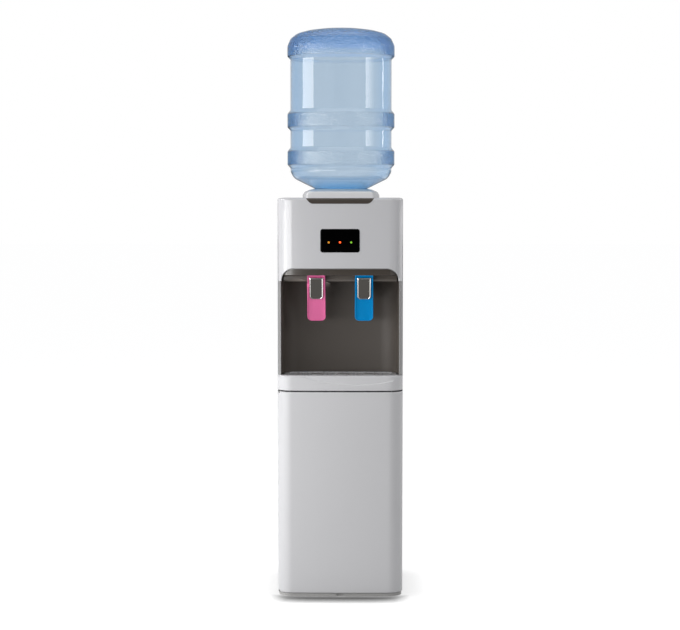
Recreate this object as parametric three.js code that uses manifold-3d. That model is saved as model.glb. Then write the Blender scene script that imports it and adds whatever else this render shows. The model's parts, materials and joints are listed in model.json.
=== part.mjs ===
// Free-standing bottled-water dispenser, modelled with three.js. Millimetres, +Z up, front faces -Y.
// Origin: the middle of the footprint, on the floor.
import * as THREE from 'three';
import { mergeVertices } from 'three/addons/utils/BufferGeometryUtils.js';
import Module from 'manifold-3d';

const wasm = await Module();
wasm.setup();

// ---- driving dimensions -------------------------------------------------------------------------
const CABINET = { width: 310, depth: 320, top: 990, cornerR: 38, rearR: 12, crown: 3 };
const GAP = 0.3; // clearance between fixed neighbours
const RUN = 0.5; // clearance around a moving piece
const PANEL = 1.5; // painted sheet
const MOULD = 3; // moulded front pieces

const HALF = CABINET.width / 2;
const FRONT = -CABINET.depth / 2;
const REAR = CABINET.depth / 2;
const SPLIT_Y = FRONT + CABINET.cornerR; // where the front mouldings meet the side sheets

const FOOT = { r: 13, height: 3, inset: 24 };
const PLINTH = { bottom: FOOT.height + GAP, top: 10.7, inset: 7 };
const DOOR = { bottom: 11, top: 511.5, wall: 2.5, flange: 4, returnY: SPLIT_Y - 3 };
const HINGE = { x: -HALF + 12, y: FRONT + 27, pinR: 3, ear: 7 };
const HOUSING = { bottom: 517.5, top: 553.6, backY: -40 };
const BASIN = { x: 128, y0: -141, y1: -56, floor: 523, cornerR: 12 };
const NICHE = { bottom: HOUSING.top, top: 818, half: HALF - 9, archR: 32, backY: -42, wall: 2.5 };
const VISOR = { stripBottom: 803.2, stepBottom: 785, inset: 4, stepFrontY: -127 };
const DISPLAY = { w: 97, h: 58, midZ: 886, cornerR: 6.5, ledZ: 882, ledPitch: 27.5, ledR: 3 };
const INSERT = { topHalf: 82.5, lowHalf: 70, bottom: CABINET.top - 13.5 };
const TAP = { x: 59, pivotY: -131, pivotZ: 806, tilt: 18, stemZ: 770 };
const LEVER = { w: 44.5, face: 15, thick: 7, top: 1.5, bottom: -122, cornerR: 11, barrelR: 6 };
const PLATE = { w: 34, top: -7, bottom: -64, thick: 3, corner: 7 };
const BOTTLE = {
  r: 135, bodyR: 127.5, neckR: 27.5, neckEnd: CABINET.top - 62, top: CABINET.top + 428, wall: 2.5,
};
const COLLAR = {
  r: 97, crest: CABINET.top + 23.2, coneEnd: CABINET.top + 4, wall: 4,
  throatR: BOTTLE.neckR + 8.5, throatBottom: CABINET.top - 69,
};
const BRIDGE = { half: 83, top: CABINET.top + 17, frontY: FRONT + 10 };
const BAY = {
  half: 125, frontY: FRONT + 26, backY: 150, floor: 14, ceiling: DOOR.top - 11.5, sheet: 3, shelfZ: 260,
};
const TANK = {
  coldR: 62, coldY: 32, coldBottom: 700, coldTop: COLLAR.throatBottom - 6, hotR: 46, hotX: -45, hotY: 40,
};
const FAN = { size: 120, midZ: 820, y0: 123, depth: 20, holeR: 56, tipR: 54, hubR: 19, blades: 7 };

// ---- colours and finishes -----------------------------------------------------------------------
const finish = (color, roughness, metalness = 0) =>
  new THREE.MeshStandardMaterial({ color, roughness, metalness });
const WHITE = finish(0xe9eaec, 0.28);
const PALE_GREY = finish(0xb9b9b8, 0.4);
const TAUPE = finish(0x4c4641, 0.5);
const BLACK = finish(0x0b0b0c, 0.1);
const RUBBER = finish(0x2c2b2a, 0.9);
const PLINTH_GREY = finish(0x6b6a68, 0.7);
const CHROME = finish(0xa9a8a4, 0.12, 1);
const STEEL = finish(0xb4b6b8, 0.35, 1);
const ALUMINIUM = finish(0xc2c4c6, 0.45, 1);
const PINK = finish(0xd85a92, 0.3);
const BLUE = finish(0x0086c4, 0.3);
const GREEN = finish(0x1d6b3c, 0.6);
const BOTTLE_BLUE = finish(0x9dbbd8, 0.08);
const SILICONE = finish(0xe4e1d8, 0.5);

// ---- helpers ------------------------------------------------------------------------------------
const unit = new THREE.Group();

/** Merges shared vertices and drops triangles that collapsed on an axis or a seam. */
function weld(geometry) {
  const bare = geometry.index ? geometry.toNonIndexed() : geometry.clone();
  bare.deleteAttribute('normal');
  bare.deleteAttribute('uv');
  const merged = mergeVertices(bare, 1e-4);
  const index = [];
  for (let i = 0; i < merged.index.count; i += 3) {
    const [a, b, c] = [0, 1, 2].map((k) => merged.index.getX(i + k));
    if (a !== b && b !== c && c !== a) index.push(a, b, c);
  }
  merged.setIndex(index);
  return merged;
}

function solid(geometry) {
  const merged = weld(geometry);
  const vertProperties = new Float32Array(merged.attributes.position.array);
  const triVerts = new Uint32Array(merged.index.array);
  return new wasm.Manifold(new wasm.Mesh({ numProp: 3, vertProperties, triVerts }));
}

function geometryOf(manifold) {
  const mesh = manifold.getMesh();
  const geometry = new THREE.BufferGeometry();
  geometry.setAttribute('position', new THREE.BufferAttribute(new Float32Array(mesh.vertProperties), 3));
  geometry.setIndex(new THREE.BufferAttribute(new Uint32Array(mesh.triVerts), 1));
  return geometry;
}

const union = (...solids) => solids.reduce((sum, next) => sum.add(next));
const cut = (body, ...tools) => tools.reduce((rest, tool) => rest.subtract(tool), body);

/** Adds one named sub-part to the dispenser, or to a turned group inside it. */
function piece(name, shape, material, parent = unit) {
  const geometry = shape.getMesh ? geometryOf(shape) : weld(shape);
  const flat = geometry.toNonIndexed();
  flat.computeVertexNormals();
  const mesh = new THREE.Mesh(flat, material);
  mesh.name = name;
  parent.add(mesh);
  return mesh;
}

function box(x0, x1, y0, y1, z0, z1) {
  const geometry = new THREE.BoxGeometry(x1 - x0, y1 - y0, z1 - z0);
  return geometry.translate((x0 + x1) / 2, (y0 + y1) / 2, (z0 + z1) / 2);
}

/** A prism from z0 to z1 over an outline of [x, y] points. */
function prism(points, z0, z1) {
  const outline = new THREE.Shape(points.map(([x, y]) => new THREE.Vector2(x, y)));
  const geometry = new THREE.ExtrudeGeometry(outline, { depth: z1 - z0, bevelEnabled: false });
  return geometry.translate(0, 0, z0);
}

/** A prism from y0 to y1 over an outline of [x, z] points. */
function frontPrism(points, y0, y1) {
  return prism(points, 0, y1 - y0).rotateX(Math.PI / 2).translate(0, y1, 0);
}

function upright(r, z0, z1, x = 0, y = 0, sides = 24) {
  const geometry = new THREE.CylinderGeometry(r, r, z1 - z0, sides);
  return geometry.rotateX(Math.PI / 2).translate(x, y, (z0 + z1) / 2);
}

function alongY(r, y0, y1, x, z, sides = 20) {
  const geometry = new THREE.CylinderGeometry(r, r, y1 - y0, sides);
  return geometry.translate(x, (y0 + y1) / 2, z);
}

function alongX(r, x0, x1, y, z, sides = 16) {
  const geometry = new THREE.CylinderGeometry(r, r, x1 - x0, sides);
  return geometry.rotateZ(Math.PI / 2).translate((x0 + x1) / 2, y, z);
}

/** Turns an outline of [r, z] points, counter-clockwise, about an upright axis. */
function turned(points, sides, x = 0, y = 0) {
  const outline = points.map(([r, z]) => new THREE.Vector2(r, z));
  return new THREE.LatheGeometry(outline, sides).rotateX(Math.PI / 2).translate(x, y, 0);
}

function arc(cx, cy, r, from, to, steps) {
  return Array.from({ length: steps + 1 }, (_, i) => {
    const angle = THREE.MathUtils.degToRad(from + ((to - from) * i) / steps);
    return [cx + r * Math.cos(angle), cy + r * Math.sin(angle)];
  });
}

function roundedRect(x0, x1, y0, y1, r, steps = 4) {
  return [
    ...arc(x1 - r, y0 + r, r, -90, 0, steps),
    ...arc(x1 - r, y1 - r, r, 0, 90, steps),
    ...arc(x0 + r, y1 - r, r, 90, 180, steps),
    ...arc(x0 + r, y0 + r, r, 180, 270, steps),
  ];
}

const mirrored = (points) => points.map(([x, y]) => [-x, y]).reverse();

/** The front of the cabinet in plan, from the left side round the crowned face to the right side. */
function frontCurve(inset, endY) {
  const x = HALF - CABINET.cornerR;
  const y = FRONT + CABINET.crown + CABINET.cornerR;
  const left = [[-HALF + inset, endY], ...arc(-x, y, CABINET.cornerR - inset, 180, 268, 6)];
  const middle = [-0.66, -0.33, 0, 0.33, 0.66].map((t) => {
    return [t * x, FRONT + inset + CABINET.crown * t * t];
  });
  return [...left, ...middle, ...mirrored(left)];
}

/** A prism over the front of the cabinet, from its face back to endY. */
function wrapSolid(inset, endY, z0, z1) {
  const whole = solid(prism(frontCurve(inset, Math.max(endY, 0)), z0, z1));
  return whole.intersect(solid(box(-HALF - 1, HALF + 1, FRONT - 1, endY, z0 - 1, z1 + 1)));
}

/** A moulded band that wraps the front of the cabinet, open towards the rear. */
function wrapBand(wall, endY, z0, z1) {
  return wrapSolid(0, endY, z0, z1).subtract(wrapSolid(wall, endY + 1, z0 - 1, z1 + 1));
}

// ---- base and cabinet shell ---------------------------------------------------------------------
function base() {
  const x = HALF - PLINTH.inset;
  const front = FRONT + PLINTH.inset + 4;
  const slab = prism(roundedRect(-x, x, front, REAR - 4, 24), PLINTH.bottom, PLINTH.top);
  piece('base_plinth', slab, PLINTH_GREY);
  const corners = { front_left: [-1, 1], front_right: [1, 1], rear_left: [-1, -1], rear_right: [1, -1] };
  for (const [name, [sx, sy]] of Object.entries(corners)) {
    const [fx, fy] = [sx * (x - FOOT.inset), sy * (front + FOOT.inset)];
    piece(`foot_${name}`, upright(FOOT.r, 0, FOOT.height, fx, fy, 20), RUBBER);
  }
}

function sidePanel(name, side) {
  const r = CABINET.rearR;
  const sheet = (inset) => [
    [-HALF + inset, SPLIT_Y],
    ...arc(-HALF + r, REAR - r, r - inset, 180, 90, 4),
    [-HALF + 25, REAR - inset],
  ];
  const outline = [...sheet(0), ...sheet(PANEL).reverse()];
  const points = side < 0 ? outline : outline.map(([x, y]) => [-x, y]);
  piece(name, prism(points, DOOR.bottom, CABINET.top - 6.3), WHITE);
}

function backPanel() {
  const x = HALF - 25 - GAP;
  const sheet = solid(box(-x, x, REAR - PANEL, REAR, DOOR.bottom, CABINET.top - 6.3));
  const slots = [];
  for (let z = FAN.midZ - 48; z <= FAN.midZ + 48; z += 12) {
    slots.push(solid(box(-48, 48, REAR - 5, REAR + 5, z - 2.5, z + 2.5)));
  }
  for (let z = 560; z <= 596; z += 12) {
    slots.push(solid(box(-110, -40, REAR - 5, REAR + 5, z - 2.5, z + 2.5)));
  }
  const ports = [
    ...ROCKER_X.map((at) => solid(box(at - 8, at + 8, REAR - 5, REAR + 5, ROCKER_Z - 12, ROCKER_Z + 12))),
    solid(box(INLET.x - 14, INLET.x + 14, REAR - 5, REAR + 5, INLET.z - 11, INLET.z + 11)),
    solid(alongY(DRAIN.r + 1, REAR - 5, REAR + 5, DRAIN.x, DRAIN.z)),
  ];
  piece('back_panel', cut(sheet, ...slots, ...ports), WHITE);
}

function topCover() {
  const front = SPLIT_Y + GAP;
  const outline = [
    [-HALF, front], [HALF, front],
    ...arc(HALF - CABINET.rearR, REAR - CABINET.rearR, CABINET.rearR, 0, 90, 4),
    ...arc(-HALF + CABINET.rearR, REAR - CABINET.rearR, CABINET.rearR, 90, 180, 4),
  ];
  const plate = solid(prism(outline, CABINET.top - 6, CABINET.top));
  const under = solid(prism(roundedRect(-HALF + 5, HALF - 5, front + 5, REAR - 5, 8), 0, CABINET.top - 3));
  const rim = solid(upright(COLLAR.r - 1, CABINET.top - 6, CABINET.top, 0, 0, 32));
  const opening = solid(upright(COLLAR.r - 7, CABINET.top - 9, CABINET.top + 3, 0, 0, 32));
  piece('top_cover', cut(union(cut(plate, under), rim), opening), WHITE);
}

// ---- fascia, display and dark insert ------------------------------------------------------------
function insertOutline(grow) {
  const { topHalf, lowHalf, bottom } = INSERT;
  return [
    [-topHalf - grow, CABINET.top + 1], [-lowHalf - grow, bottom + 3], [-lowHalf + 7, bottom - grow],
    [lowHalf - 7, bottom - grow], [lowHalf + grow, bottom + 3], [topHalf + grow, CABINET.top + 1],
  ];
}

function nicheOutline(half, bottom, top, r) {
  return [
    [-half, bottom], [half, bottom],
    ...arc(half - r, top - r, r, 0, 90, 6),
    ...arc(-half + r, top - r, r, 90, 180, 6),
  ];
}

function displayOutline(grow) {
  const { w, h, midZ, cornerR } = DISPLAY;
  const [x, z] = [w / 2 + grow, h / 2 + grow];
  return roundedRect(-x, x, midZ - z, midZ + z, cornerR, 3);
}

function fascia() {
  const low = NICHE.top - NICHE.archR;
  const band = wrapBand(MOULD, SPLIT_Y, low, CABINET.top);
  const flange = wrapSolid(0, SPLIT_Y, CABINET.top - MOULD, CABINET.top);
  const arch = nicheOutline(NICHE.half, low - 50, NICHE.top, NICHE.archR);
  const body = cut(
    union(band, flange),
    solid(frontPrism(arch, FRONT - 5, SPLIT_Y + 5)),
    solid(frontPrism(displayOutline(GAP), FRONT - 5, FRONT + 20)),
    solid(frontPrism(insertOutline(GAP), FRONT - 5, FRONT + 10 + GAP)),
  );
  piece('fascia', body, WHITE);
  const hull = wrapSolid(0, FRONT + 10, INSERT.bottom - 5, CABINET.top);
  piece('handle_insert', hull.intersect(solid(frontPrism(insertOutline(0), FRONT - 5, FRONT + 10))), TAUPE);
}

function display() {
  const lens = solid(frontPrism(displayOutline(0), FRONT, FRONT + 3.5));
  const names = ['led_amber', 'led_red', 'led_green'];
  const colours = [0xe08a10, 0xff2010, 0x3fae2a];
  const places = [-1, 0, 1].map((step) => step * DISPLAY.ledPitch);
  const holes = places.map((x) => {
    return solid(alongY(DISPLAY.ledR + GAP, FRONT - 2, FRONT + 6, x, DISPLAY.ledZ, 16));
  });
  piece('display_lens', cut(lens, ...holes), BLACK);
  places.forEach((x, i) => {
    const lamp = alongY(DISPLAY.ledR, FRONT + 0.4, FRONT + 9, x, DISPLAY.ledZ, 16);
    piece(names[i], lamp, finish(colours[i], 0.3));
  });
  const board = solid(box(-50, 50, FRONT + 9.3, FRONT + 10.9, DISPLAY.midZ - 34, DISPLAY.midZ + 34));
  const chip = solid(box(-18, 10, FRONT + 10.8, FRONT + 14, DISPLAY.midZ - 20, DISPLAY.midZ + 4));
  const plug = solid(box(24, 40, FRONT + 10.8, FRONT + 19, DISPLAY.midZ + 8, DISPLAY.midZ + 18));
  piece('control_board', union(board, chip, plug), GREEN);
}

// ---- cup niche ----------------------------------------------------------------------------------
function nicheSide(name, side) {
  const top = NICHE.top - NICHE.archR - GAP;
  const band = wrapBand(MOULD + 3, SPLIT_Y, HOUSING.top + GAP, top);
  const keep = side < 0 ? [-HALF - 1, -NICHE.half] : [NICHE.half, HALF + 1];
  const strip = band.intersect(solid(box(...keep, FRONT - 1, SPLIT_Y + 1, 0, CABINET.top)));
  piece(name, strip, PALE_GREY);
}

/** The curved lining in plan: splayed cheeks, wide corners and a shallow concave back. */
function liningCurve(grow) {
  const left = [
    [-NICHE.half + 4 - grow, FRONT + 23], [-NICHE.half + 6 - grow, -96],
    ...arc(53 - NICHE.half, -95, 47 + grow, 178, 96, 6),
  ];
  return [...left, [0, NICHE.backY + grow], ...mirrored(left)];
}

function nicheWall() {
  const outline = [...liningCurve(NICHE.wall), ...liningCurve(0).reverse()];
  const wall = solid(prism(outline, HOUSING.top + GAP, NICHE.top - GAP));
  const holes = [-TAP.x, TAP.x].map((x) => solid(alongY(10, -60, -30, x, TAP.stemZ)));
  piece('niche_wall', cut(wall, ...holes), TAUPE);
}

function visor() {
  const { stripBottom, stepBottom, inset, stepFrontY } = VISOR;
  const top = NICHE.top - GAP;
  const inside = solid(prism(liningCurve(-RUN), stepBottom, top));
  const step = inside.intersect(solid(box(-HALF, HALF, stepFrontY, 0, stepBottom, top)));
  const opening = solid(frontPrism(nicheOutline(NICHE.half - 1, 700, top, NICHE.archR), FRONT, -100));
  const strip = wrapSolid(inset, stepFrontY + 1, stripBottom, top).intersect(opening);
  const body = union(strip.intersect(solid(box(-140, 140, FRONT, -100, 700, 900))), step);
  const tools = [solid(box(-110, 110, -108, -58, stepBottom + 3, top + 5))];
  for (const x of [-TAP.x, TAP.x]) {
    tools.push(solid(box(x - 24, x + 24, -148, -118, stepBottom - 5, TAP.pivotZ + 7)));
    tools.push(solid(alongX(2.4, x - 28.3, x + 28.3, TAP.pivotY, TAP.pivotZ)));
  }
  piece('visor', cut(body, ...tools), TAUPE);
}

// ---- taps ---------------------------------------------------------------------------------------
/** A paddle with a raised rim, drawn upright about its pivot and then tilted. */
function leverShape() {
  const half = LEVER.w / 2;
  const outline = roundedRect(-half, half, LEVER.bottom, LEVER.top, LEVER.cornerR, 4);
  const square = [[-half, LEVER.top - 30], [half, LEVER.top - 30], [half, LEVER.top], [-half, LEVER.top]];
  const blade = union(
    solid(frontPrism(outline, -LEVER.face, -LEVER.face + LEVER.thick)),
    solid(frontPrism(square, -LEVER.face, -LEVER.face + LEVER.thick)),
  );
  const dish = roundedRect(-half + 2.5, half - 2.5, LEVER.bottom + 2.5, PLATE.bottom - 1, 8, 4);
  const barrel = solid(alongX(LEVER.barrelR, -20, 20, 0, 0));
  const neck = solid(box(-20, 20, -LEVER.face + 2, 0, -5, 1));
  const bore = solid(alongX(2.5, -30, 30, 0, 0));
  const scoop = solid(frontPrism(dish, -LEVER.face - 1, -LEVER.face + 2));
  return cut(union(blade, barrel, neck), scoop, bore);
}

function plateShape() {
  const [half, c] = [PLATE.w / 2, PLATE.corner];
  const outline = [
    [-half + c, PLATE.bottom], [half - c, PLATE.bottom], [half, PLATE.bottom + c],
    [half, PLATE.top], [-half, PLATE.top], [-half, PLATE.bottom + c],
  ];
  const front = -LEVER.face - GAP - PLATE.thick;
  return frontPrism(outline, front, -LEVER.face - GAP);
}

function tap(side, name, colour) {
  const x = side * TAP.x;
  const handle = new THREE.Group();
  handle.position.set(x, TAP.pivotY, TAP.pivotZ);
  handle.rotation.x = THREE.MathUtils.degToRad(TAP.tilt);
  unit.add(handle);
  piece(`lever_${name}`, leverShape(), colour, handle);
  piece(`lever_plate_${name}`, plateShape(), CHROME, handle);
  piece(`lever_pin_${name}`, alongX(2, x - 28, x + 28, TAP.pivotY, TAP.pivotZ, 12), STEEL);
  const valve = union(
    solid(box(x - 14, x + 14, -105, -62, TAP.stemZ - 15, VISOR.stepBottom - 0.4)),
    solid(alongY(9, -63, -35, x, TAP.stemZ)),
    solid(upright(8, TAP.stemZ - 32, TAP.stemZ - 14, x, -84)),
  );
  const bores = [
    solid(alongY(3.7, -110, -86, x, TAP.stemZ)),
    solid(upright(5, TAP.stemZ - 40, TAP.stemZ - 20, x, -84)),
  ];
  piece(`tap_body_${name}`, cut(valve, ...bores), TAUPE);
  piece(`tap_stem_${name}`, alongY(3, -126.1, -98, x, TAP.stemZ, 16), STEEL);
}

// ---- drip tray ----------------------------------------------------------------------------------
function dripTray() {
  const { x, y0, y1, floor, cornerR } = BASIN;
  const body = wrapSolid(0, HOUSING.backY, HOUSING.bottom, HOUSING.top);
  const sides = [-1, 1].map((side) => {
    const [a, b] = side < 0 ? [-HALF - 1, -HALF + PANEL + GAP] : [HALF - PANEL - GAP, HALF + 1];
    return solid(box(a, b, SPLIT_Y - GAP, 0, HOUSING.bottom - 1, HOUSING.top + 1));
  });
  const well = solid(prism(roundedRect(-x, x, y0, y1, cornerR), floor, HOUSING.top + 5));
  const under = solid(box(-x, x, y0 + 12, y1, HOUSING.bottom - 5, floor - 3));
  piece('tray_housing', cut(body, well, under, ...sides), WHITE);

  const rim = { z: HOUSING.top - 5.6, gap: 2 };
  const outer = roundedRect(-x + rim.gap, x - rim.gap, y0 + rim.gap, y1 - rim.gap, cornerR - 2);
  const inner = roundedRect(-x + 4.5, x - 4.5, y0 + 4.5, y1 - 4.5, cornerR - 4);
  const cup = cut(solid(prism(outer, floor + GAP, rim.z)), solid(prism(inner, floor + 3, rim.z + 5)));
  piece('drip_cup', cup, PALE_GREY);

  const deck = solid(prism(roundedRect(-x + 1, x - 1, y0 + 1, y1 - 1, cornerR - 1), rim.z + GAP, rim.z + 3));
  const slots = [];
  for (let i = -8; i <= 8; i += 1) {
    for (const [a, b] of [[y0 + 10, y0 + 38], [y0 + 46, y1 - 10]]) {
      slots.push(solid(box(i * 13.5 - 2.5, i * 13.5 + 2.5, a, b, rim.z - 5, rim.z + 9)));
    }
  }
  piece('drip_grille', cut(deck, ...slots), WHITE);
}

// ---- storage bay and door -----------------------------------------------------------------------
function storageBay() {
  const { half, frontY, backY, floor, ceiling, sheet, shelfZ } = BAY;
  const wall = half + PANEL;
  piece('storage_floor', box(-half + GAP, half - GAP, frontY, backY, floor, floor + sheet), WHITE);
  piece('storage_ceiling', box(-wall, wall, frontY, backY, ceiling, ceiling + sheet), WHITE);
  piece('storage_back', box(-wall, wall, backY + GAP, backY + 2, floor, ceiling + sheet), WHITE);
  const [low, high] = [floor, ceiling - GAP];
  piece('storage_wall_left', box(-wall, -half, frontY, backY, low, high), WHITE);
  piece('storage_wall_right', box(half, wall, frontY, backY, low, high), WHITE);
  const shelf = box(-half + RUN, half - RUN, frontY + 24, backY - GAP, shelfZ, shelfZ + sheet);
  piece('storage_shelf', shelf, WHITE);
  piece('magnet_catch', box(95, 123, FRONT + 23.4, FRONT + 42, ceiling - 14, ceiling - GAP), BLACK);
}

function door() {
  const { bottom, top, wall, flange, returnY } = DOOR;
  const closeY = FRONT + 21;
  const band = wrapBand(wall, returnY, bottom, top);
  const ends = [[bottom, bottom + flange], [top - flange, top]].map(([z0, z1]) => {
    const plate = wrapSolid(0, closeY, z0, z1);
    const ear = solid(box(-HALF + 1, HINGE.x + HINGE.ear, closeY - 1, HINGE.y + HINGE.ear, z0, z1));
    const bore = solid(upright(HINGE.pinR + RUN, z0 - 1, z1 + 1, HINGE.x, HINGE.y, 16));
    return cut(union(plate, ear), bore);
  });
  piece('door_outer', union(band, ...ends), WHITE);
  const panel = box(-HALF + 20, HALF - 13, closeY - 2.5, closeY, bottom + flange + GAP, top - flange - GAP);
  piece('door_inner', panel, WHITE);
  const striker = box(95, 123, closeY + GAP, closeY + 1.6, BAY.ceiling - 13, BAY.ceiling - 1);
  piece('striker_plate', striker, STEEL);
  piece('hinge_pin_bottom', upright(HINGE.pinR, PLINTH.top + GAP, bottom + 12, HINGE.x, HINGE.y, 16), STEEL);
  piece('hinge_pin_top', upright(HINGE.pinR, top - 8, HOUSING.bottom - GAP, HINGE.x, HINGE.y, 16), STEEL);
}

// ---- water circuit and cooling ------------------------------------------------------------------
function hose(points, r) {
  const path = new THREE.CatmullRomCurve3(points.map((p) => new THREE.Vector3(...p)));
  const section = new THREE.Shape(arc(0, 0, r, 0, 315, 7).map(([x, y]) => new THREE.Vector2(x, y)));
  return new THREE.ExtrudeGeometry(section, { steps: 22, bevelEnabled: false, extrudePath: path });
}

function tanks() {
  const { coldR, coldY, coldBottom, coldTop, hotR, hotX, hotY } = TANK;
  const cold = [
    [0, coldBottom], [coldR, coldBottom], [coldR, coldTop],
    [coldR - 3, coldTop], [coldR - 3, coldBottom + 3], [0, coldBottom + 3],
  ];
  piece('cold_tank', turned(cold, 28, 0, coldY), STEEL);
  const lid = solid(upright(coldR, coldTop + GAP, coldTop + 4, 0, coldY, 28));
  const spike = solid(upright(9, coldTop + 1, BOTTLE.neckEnd + 27, 0, 0, 16));
  const bore = solid(upright(6, coldTop - 5, BOTTLE.neckEnd + 22, 0, 0, 12));
  const ports = solid(alongX(3, -20, 20, 0, BOTTLE.neckEnd + 12, 8));
  piece('feed_spike', cut(union(lid, spike), bore, ports), WHITE);
  const [low, high] = [590, 680];
  const hot = [
    [8, high], [8, high - 2], [hotR - 2, high - 2], [hotR - 2, low + 2], [0, low + 2],
    [0, low], [hotR, low], [hotR, high], [8, high],
  ];
  piece('hot_tank', turned(hot, 24, hotX, hotY), STEEL);
  piece('tube_cold', hose([
    [TAP.x, -34.6, TAP.stemZ], [TAP.x, -27, TAP.stemZ], [68, -18, 760], [72, -10, 728], [62, 4, 694],
    [46, 20, 682], [36, 28, 686], [35, 29, coldBottom - 7], [35, 29, coldBottom - GAP],
  ], 4), SILICONE);
  piece('tube_hot', hose([
    [-TAP.x, -34.6, TAP.stemZ], [-TAP.x, -27, TAP.stemZ], [-70, -18, 760], [-76, -8, 732], [-73, 12, 706],
    [-64, 28, 696], [-58, 35, 691], [-57, 36, high + 5], [-57, 36, high + GAP],
  ], 4), SILICONE);
}

function cooling() {
  const { size, midZ, y0, depth, holeR, tipR, hubR, blades } = FAN;
  const comb = [[-50, 95], [50, 95]];
  for (let i = 9; i >= 0; i -= 1) {
    const x = -50 + (i * 100) / 9.3;
    comb.push([x + 3, 122], [x, 122]);
    if (i > 0) comb.push([x, 101], [x - 100 / 9.3 + 3, 101]);
  }
  comb[1] = [comb[2][0], 95];
  piece('heat_sink', prism(comb, midZ - 50, midZ + 50), ALUMINIUM);
  const half = size / 2;
  const frame = solid(frontPrism(roundedRect(-half, half, midZ - half, midZ + half, 8), y0, y0 + depth));
  const hole = solid(alongY(holeR, y0 - 1, y0 + depth + 1, 0, midZ, 32));
  const mount = [solid(alongY(hubR, y0 + depth - 3, y0 + depth, 0, midZ, 20))];
  for (const turn of [45, 135]) {
    const strut = new THREE.BoxGeometry(2 * holeR + 4, 3, 4).rotateY(THREE.MathUtils.degToRad(turn));
    mount.push(solid(strut.translate(0, y0 + depth - 1.5, midZ)));
  }
  piece('fan_frame', union(cut(frame, hole), ...mount), BLACK);
  const vane = (i) => {
    const blade = new THREE.BoxGeometry(tipR - hubR + 3, 1.8, 15);
    blade.rotateX(THREE.MathUtils.degToRad(50)).translate((tipR + hubR) / 2 - 1.5, y0 + 8.5, 0);
    return solid(blade.rotateY((i * 2 * Math.PI) / blades).translate(0, 0, midZ));
  };
  const rotor = union(
    solid(alongY(hubR, y0 + 2, y0 + depth - 4, 0, midZ, 20)),
    ...Array.from({ length: blades }, (_, i) => vane(i)),
  );
  piece('fan_rotor', rotor, BLACK);
}

// ---- rear fittings ------------------------------------------------------------------------------
const ROCKER_X = [-76, -48];
const ROCKER_Z = 930;
const INLET = { x: 70, z: 600 };
const DRAIN = { x: 0, z: 575, r: 10 };

function rearFittings() {
  ROCKER_X.forEach((x, i) => {
    const bezel = [x - 7.4, x + 7.4];
    const key = solid(alongX(9, ...bezel, REAR - 8, ROCKER_Z, 24));
    const slab = solid(box(...bezel, REAR - 6, REAR - 0.6, ROCKER_Z - 10, ROCKER_Z + 10));
    const limit = solid(box(x - 20, x + 20, REAR - 30, REAR, ROCKER_Z - 11, ROCKER_Z + 11));
    piece(`rocker_${i === 0 ? 'hot' : 'cold'}`, union(key, slab).intersect(limit), i ? BLUE : PINK);
  });
  const { x, z } = INLET;
  const shell = solid(box(x - 13.7, x + 13.7, REAR - 22, REAR - 0.3, z - 10.7, z + 10.7));
  const socket = solid(box(x - 11.5, x + 11.5, REAR - 16, REAR + 5, z - 8, z + 8));
  const blades = [-7, 0, 7].map((dx, i) => {
    const dz = i === 1 ? 3 : -1;
    return solid(box(x + dx - 1, x + dx + 1, REAR - 17, REAR - 9, z + dz - 3, z + dz + 2));
  });
  piece('power_inlet', union(cut(shell, socket), ...blades), BLACK);
  const cap = union(
    solid(alongY(DRAIN.r - 1, REAR - 14, REAR - 4, DRAIN.x, DRAIN.z)),
    solid(alongY(DRAIN.r, REAR - 6, REAR - 0.4, DRAIN.x, DRAIN.z, 12)),
  );
  piece('drain_cap', cap, TAUPE);
}

// ---- bottle and its seat ------------------------------------------------------------------------
const CONE = (COLLAR.crest - COLLAR.coneEnd) / (66 - BOTTLE.neckR); // slope of the bottle's shoulder

function collar() {
  const { r, crest, wall, throatR, throatBottom } = COLLAR;
  const seat = (radius) => crest - (66 - radius) * CONE - 2.2;
  const profile = [
    [throatR, throatBottom], [throatR + 3, throatBottom], [throatR + 3, seat(throatR) - 4],
    [66, seat(66) - 5], [r - 7.5, seat(66) - 4], [r - 7.5, CABINET.top - 5],
    [r - 7.5 + 0.1, CABINET.top + GAP],
    [r, CABINET.top + GAP], [r, CABINET.top + 13], [r - 2, CABINET.top + 18], [r - 7, crest - 1.6],
    [r - 15, crest],
    [72, crest], [67.5, crest - 0.8], [65, seat(65)], [throatR, seat(throatR)], [throatR, throatBottom],
  ];
  const ring = solid(turned(profile, 40));
  const { half, top, frontY } = BRIDGE;
  const block = solid(frontPrism([
    [-half, CABINET.top + GAP], [half, CABINET.top + GAP], ...arc(half - 7, top - 7, 7, 0, 90, 3),
    ...arc(-half + 7, top - 7, 7, 90, 180, 3),
  ], frontY, 0));
  const clear = solid(upright(r - wall, CABINET.top - 5, crest + 5, 0, 0, 40));
  const under = solid(box(-half + MOULD, half - MOULD, frontY + MOULD, 0, CABINET.top - 5, top - MOULD));
  piece('bottle_collar', union(ring, cut(block, clear, under)), WHITE);
}

/** The bottle's outer profile from the neck's end to the punt in its base. */
function bottleProfile(inset) {
  const { r, bodyR, neckR, neckEnd, top } = BOTTLE;
  const ring = (low) => [
    [bodyR - inset, low], [r - inset, low + 12], [r - inset, low + 39], [bodyR - inset, low + 54],
  ];
  return [
    [neckR - inset, neckEnd], [neckR - inset, COLLAR.coneEnd + inset], [66 - inset / 2, COLLAR.crest + inset],
    [bodyR - 9.5 - inset / 2, top - 379 + inset], [bodyR - 2.5 - inset, top - 370],
    ...ring(top - 353), ...ring(top - 259),
    [bodyR - inset, top - 80], [r - inset, top - 69], [r - inset, top - 48], [r - 4.5 - inset, top - 34],
    [r - 26 - inset / 2, top - 14 - inset], [80, top - 4.5 - inset], [50, top - inset],
    [40, top - 5 - inset], [0, top - 9 - inset],
  ];
}

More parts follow.
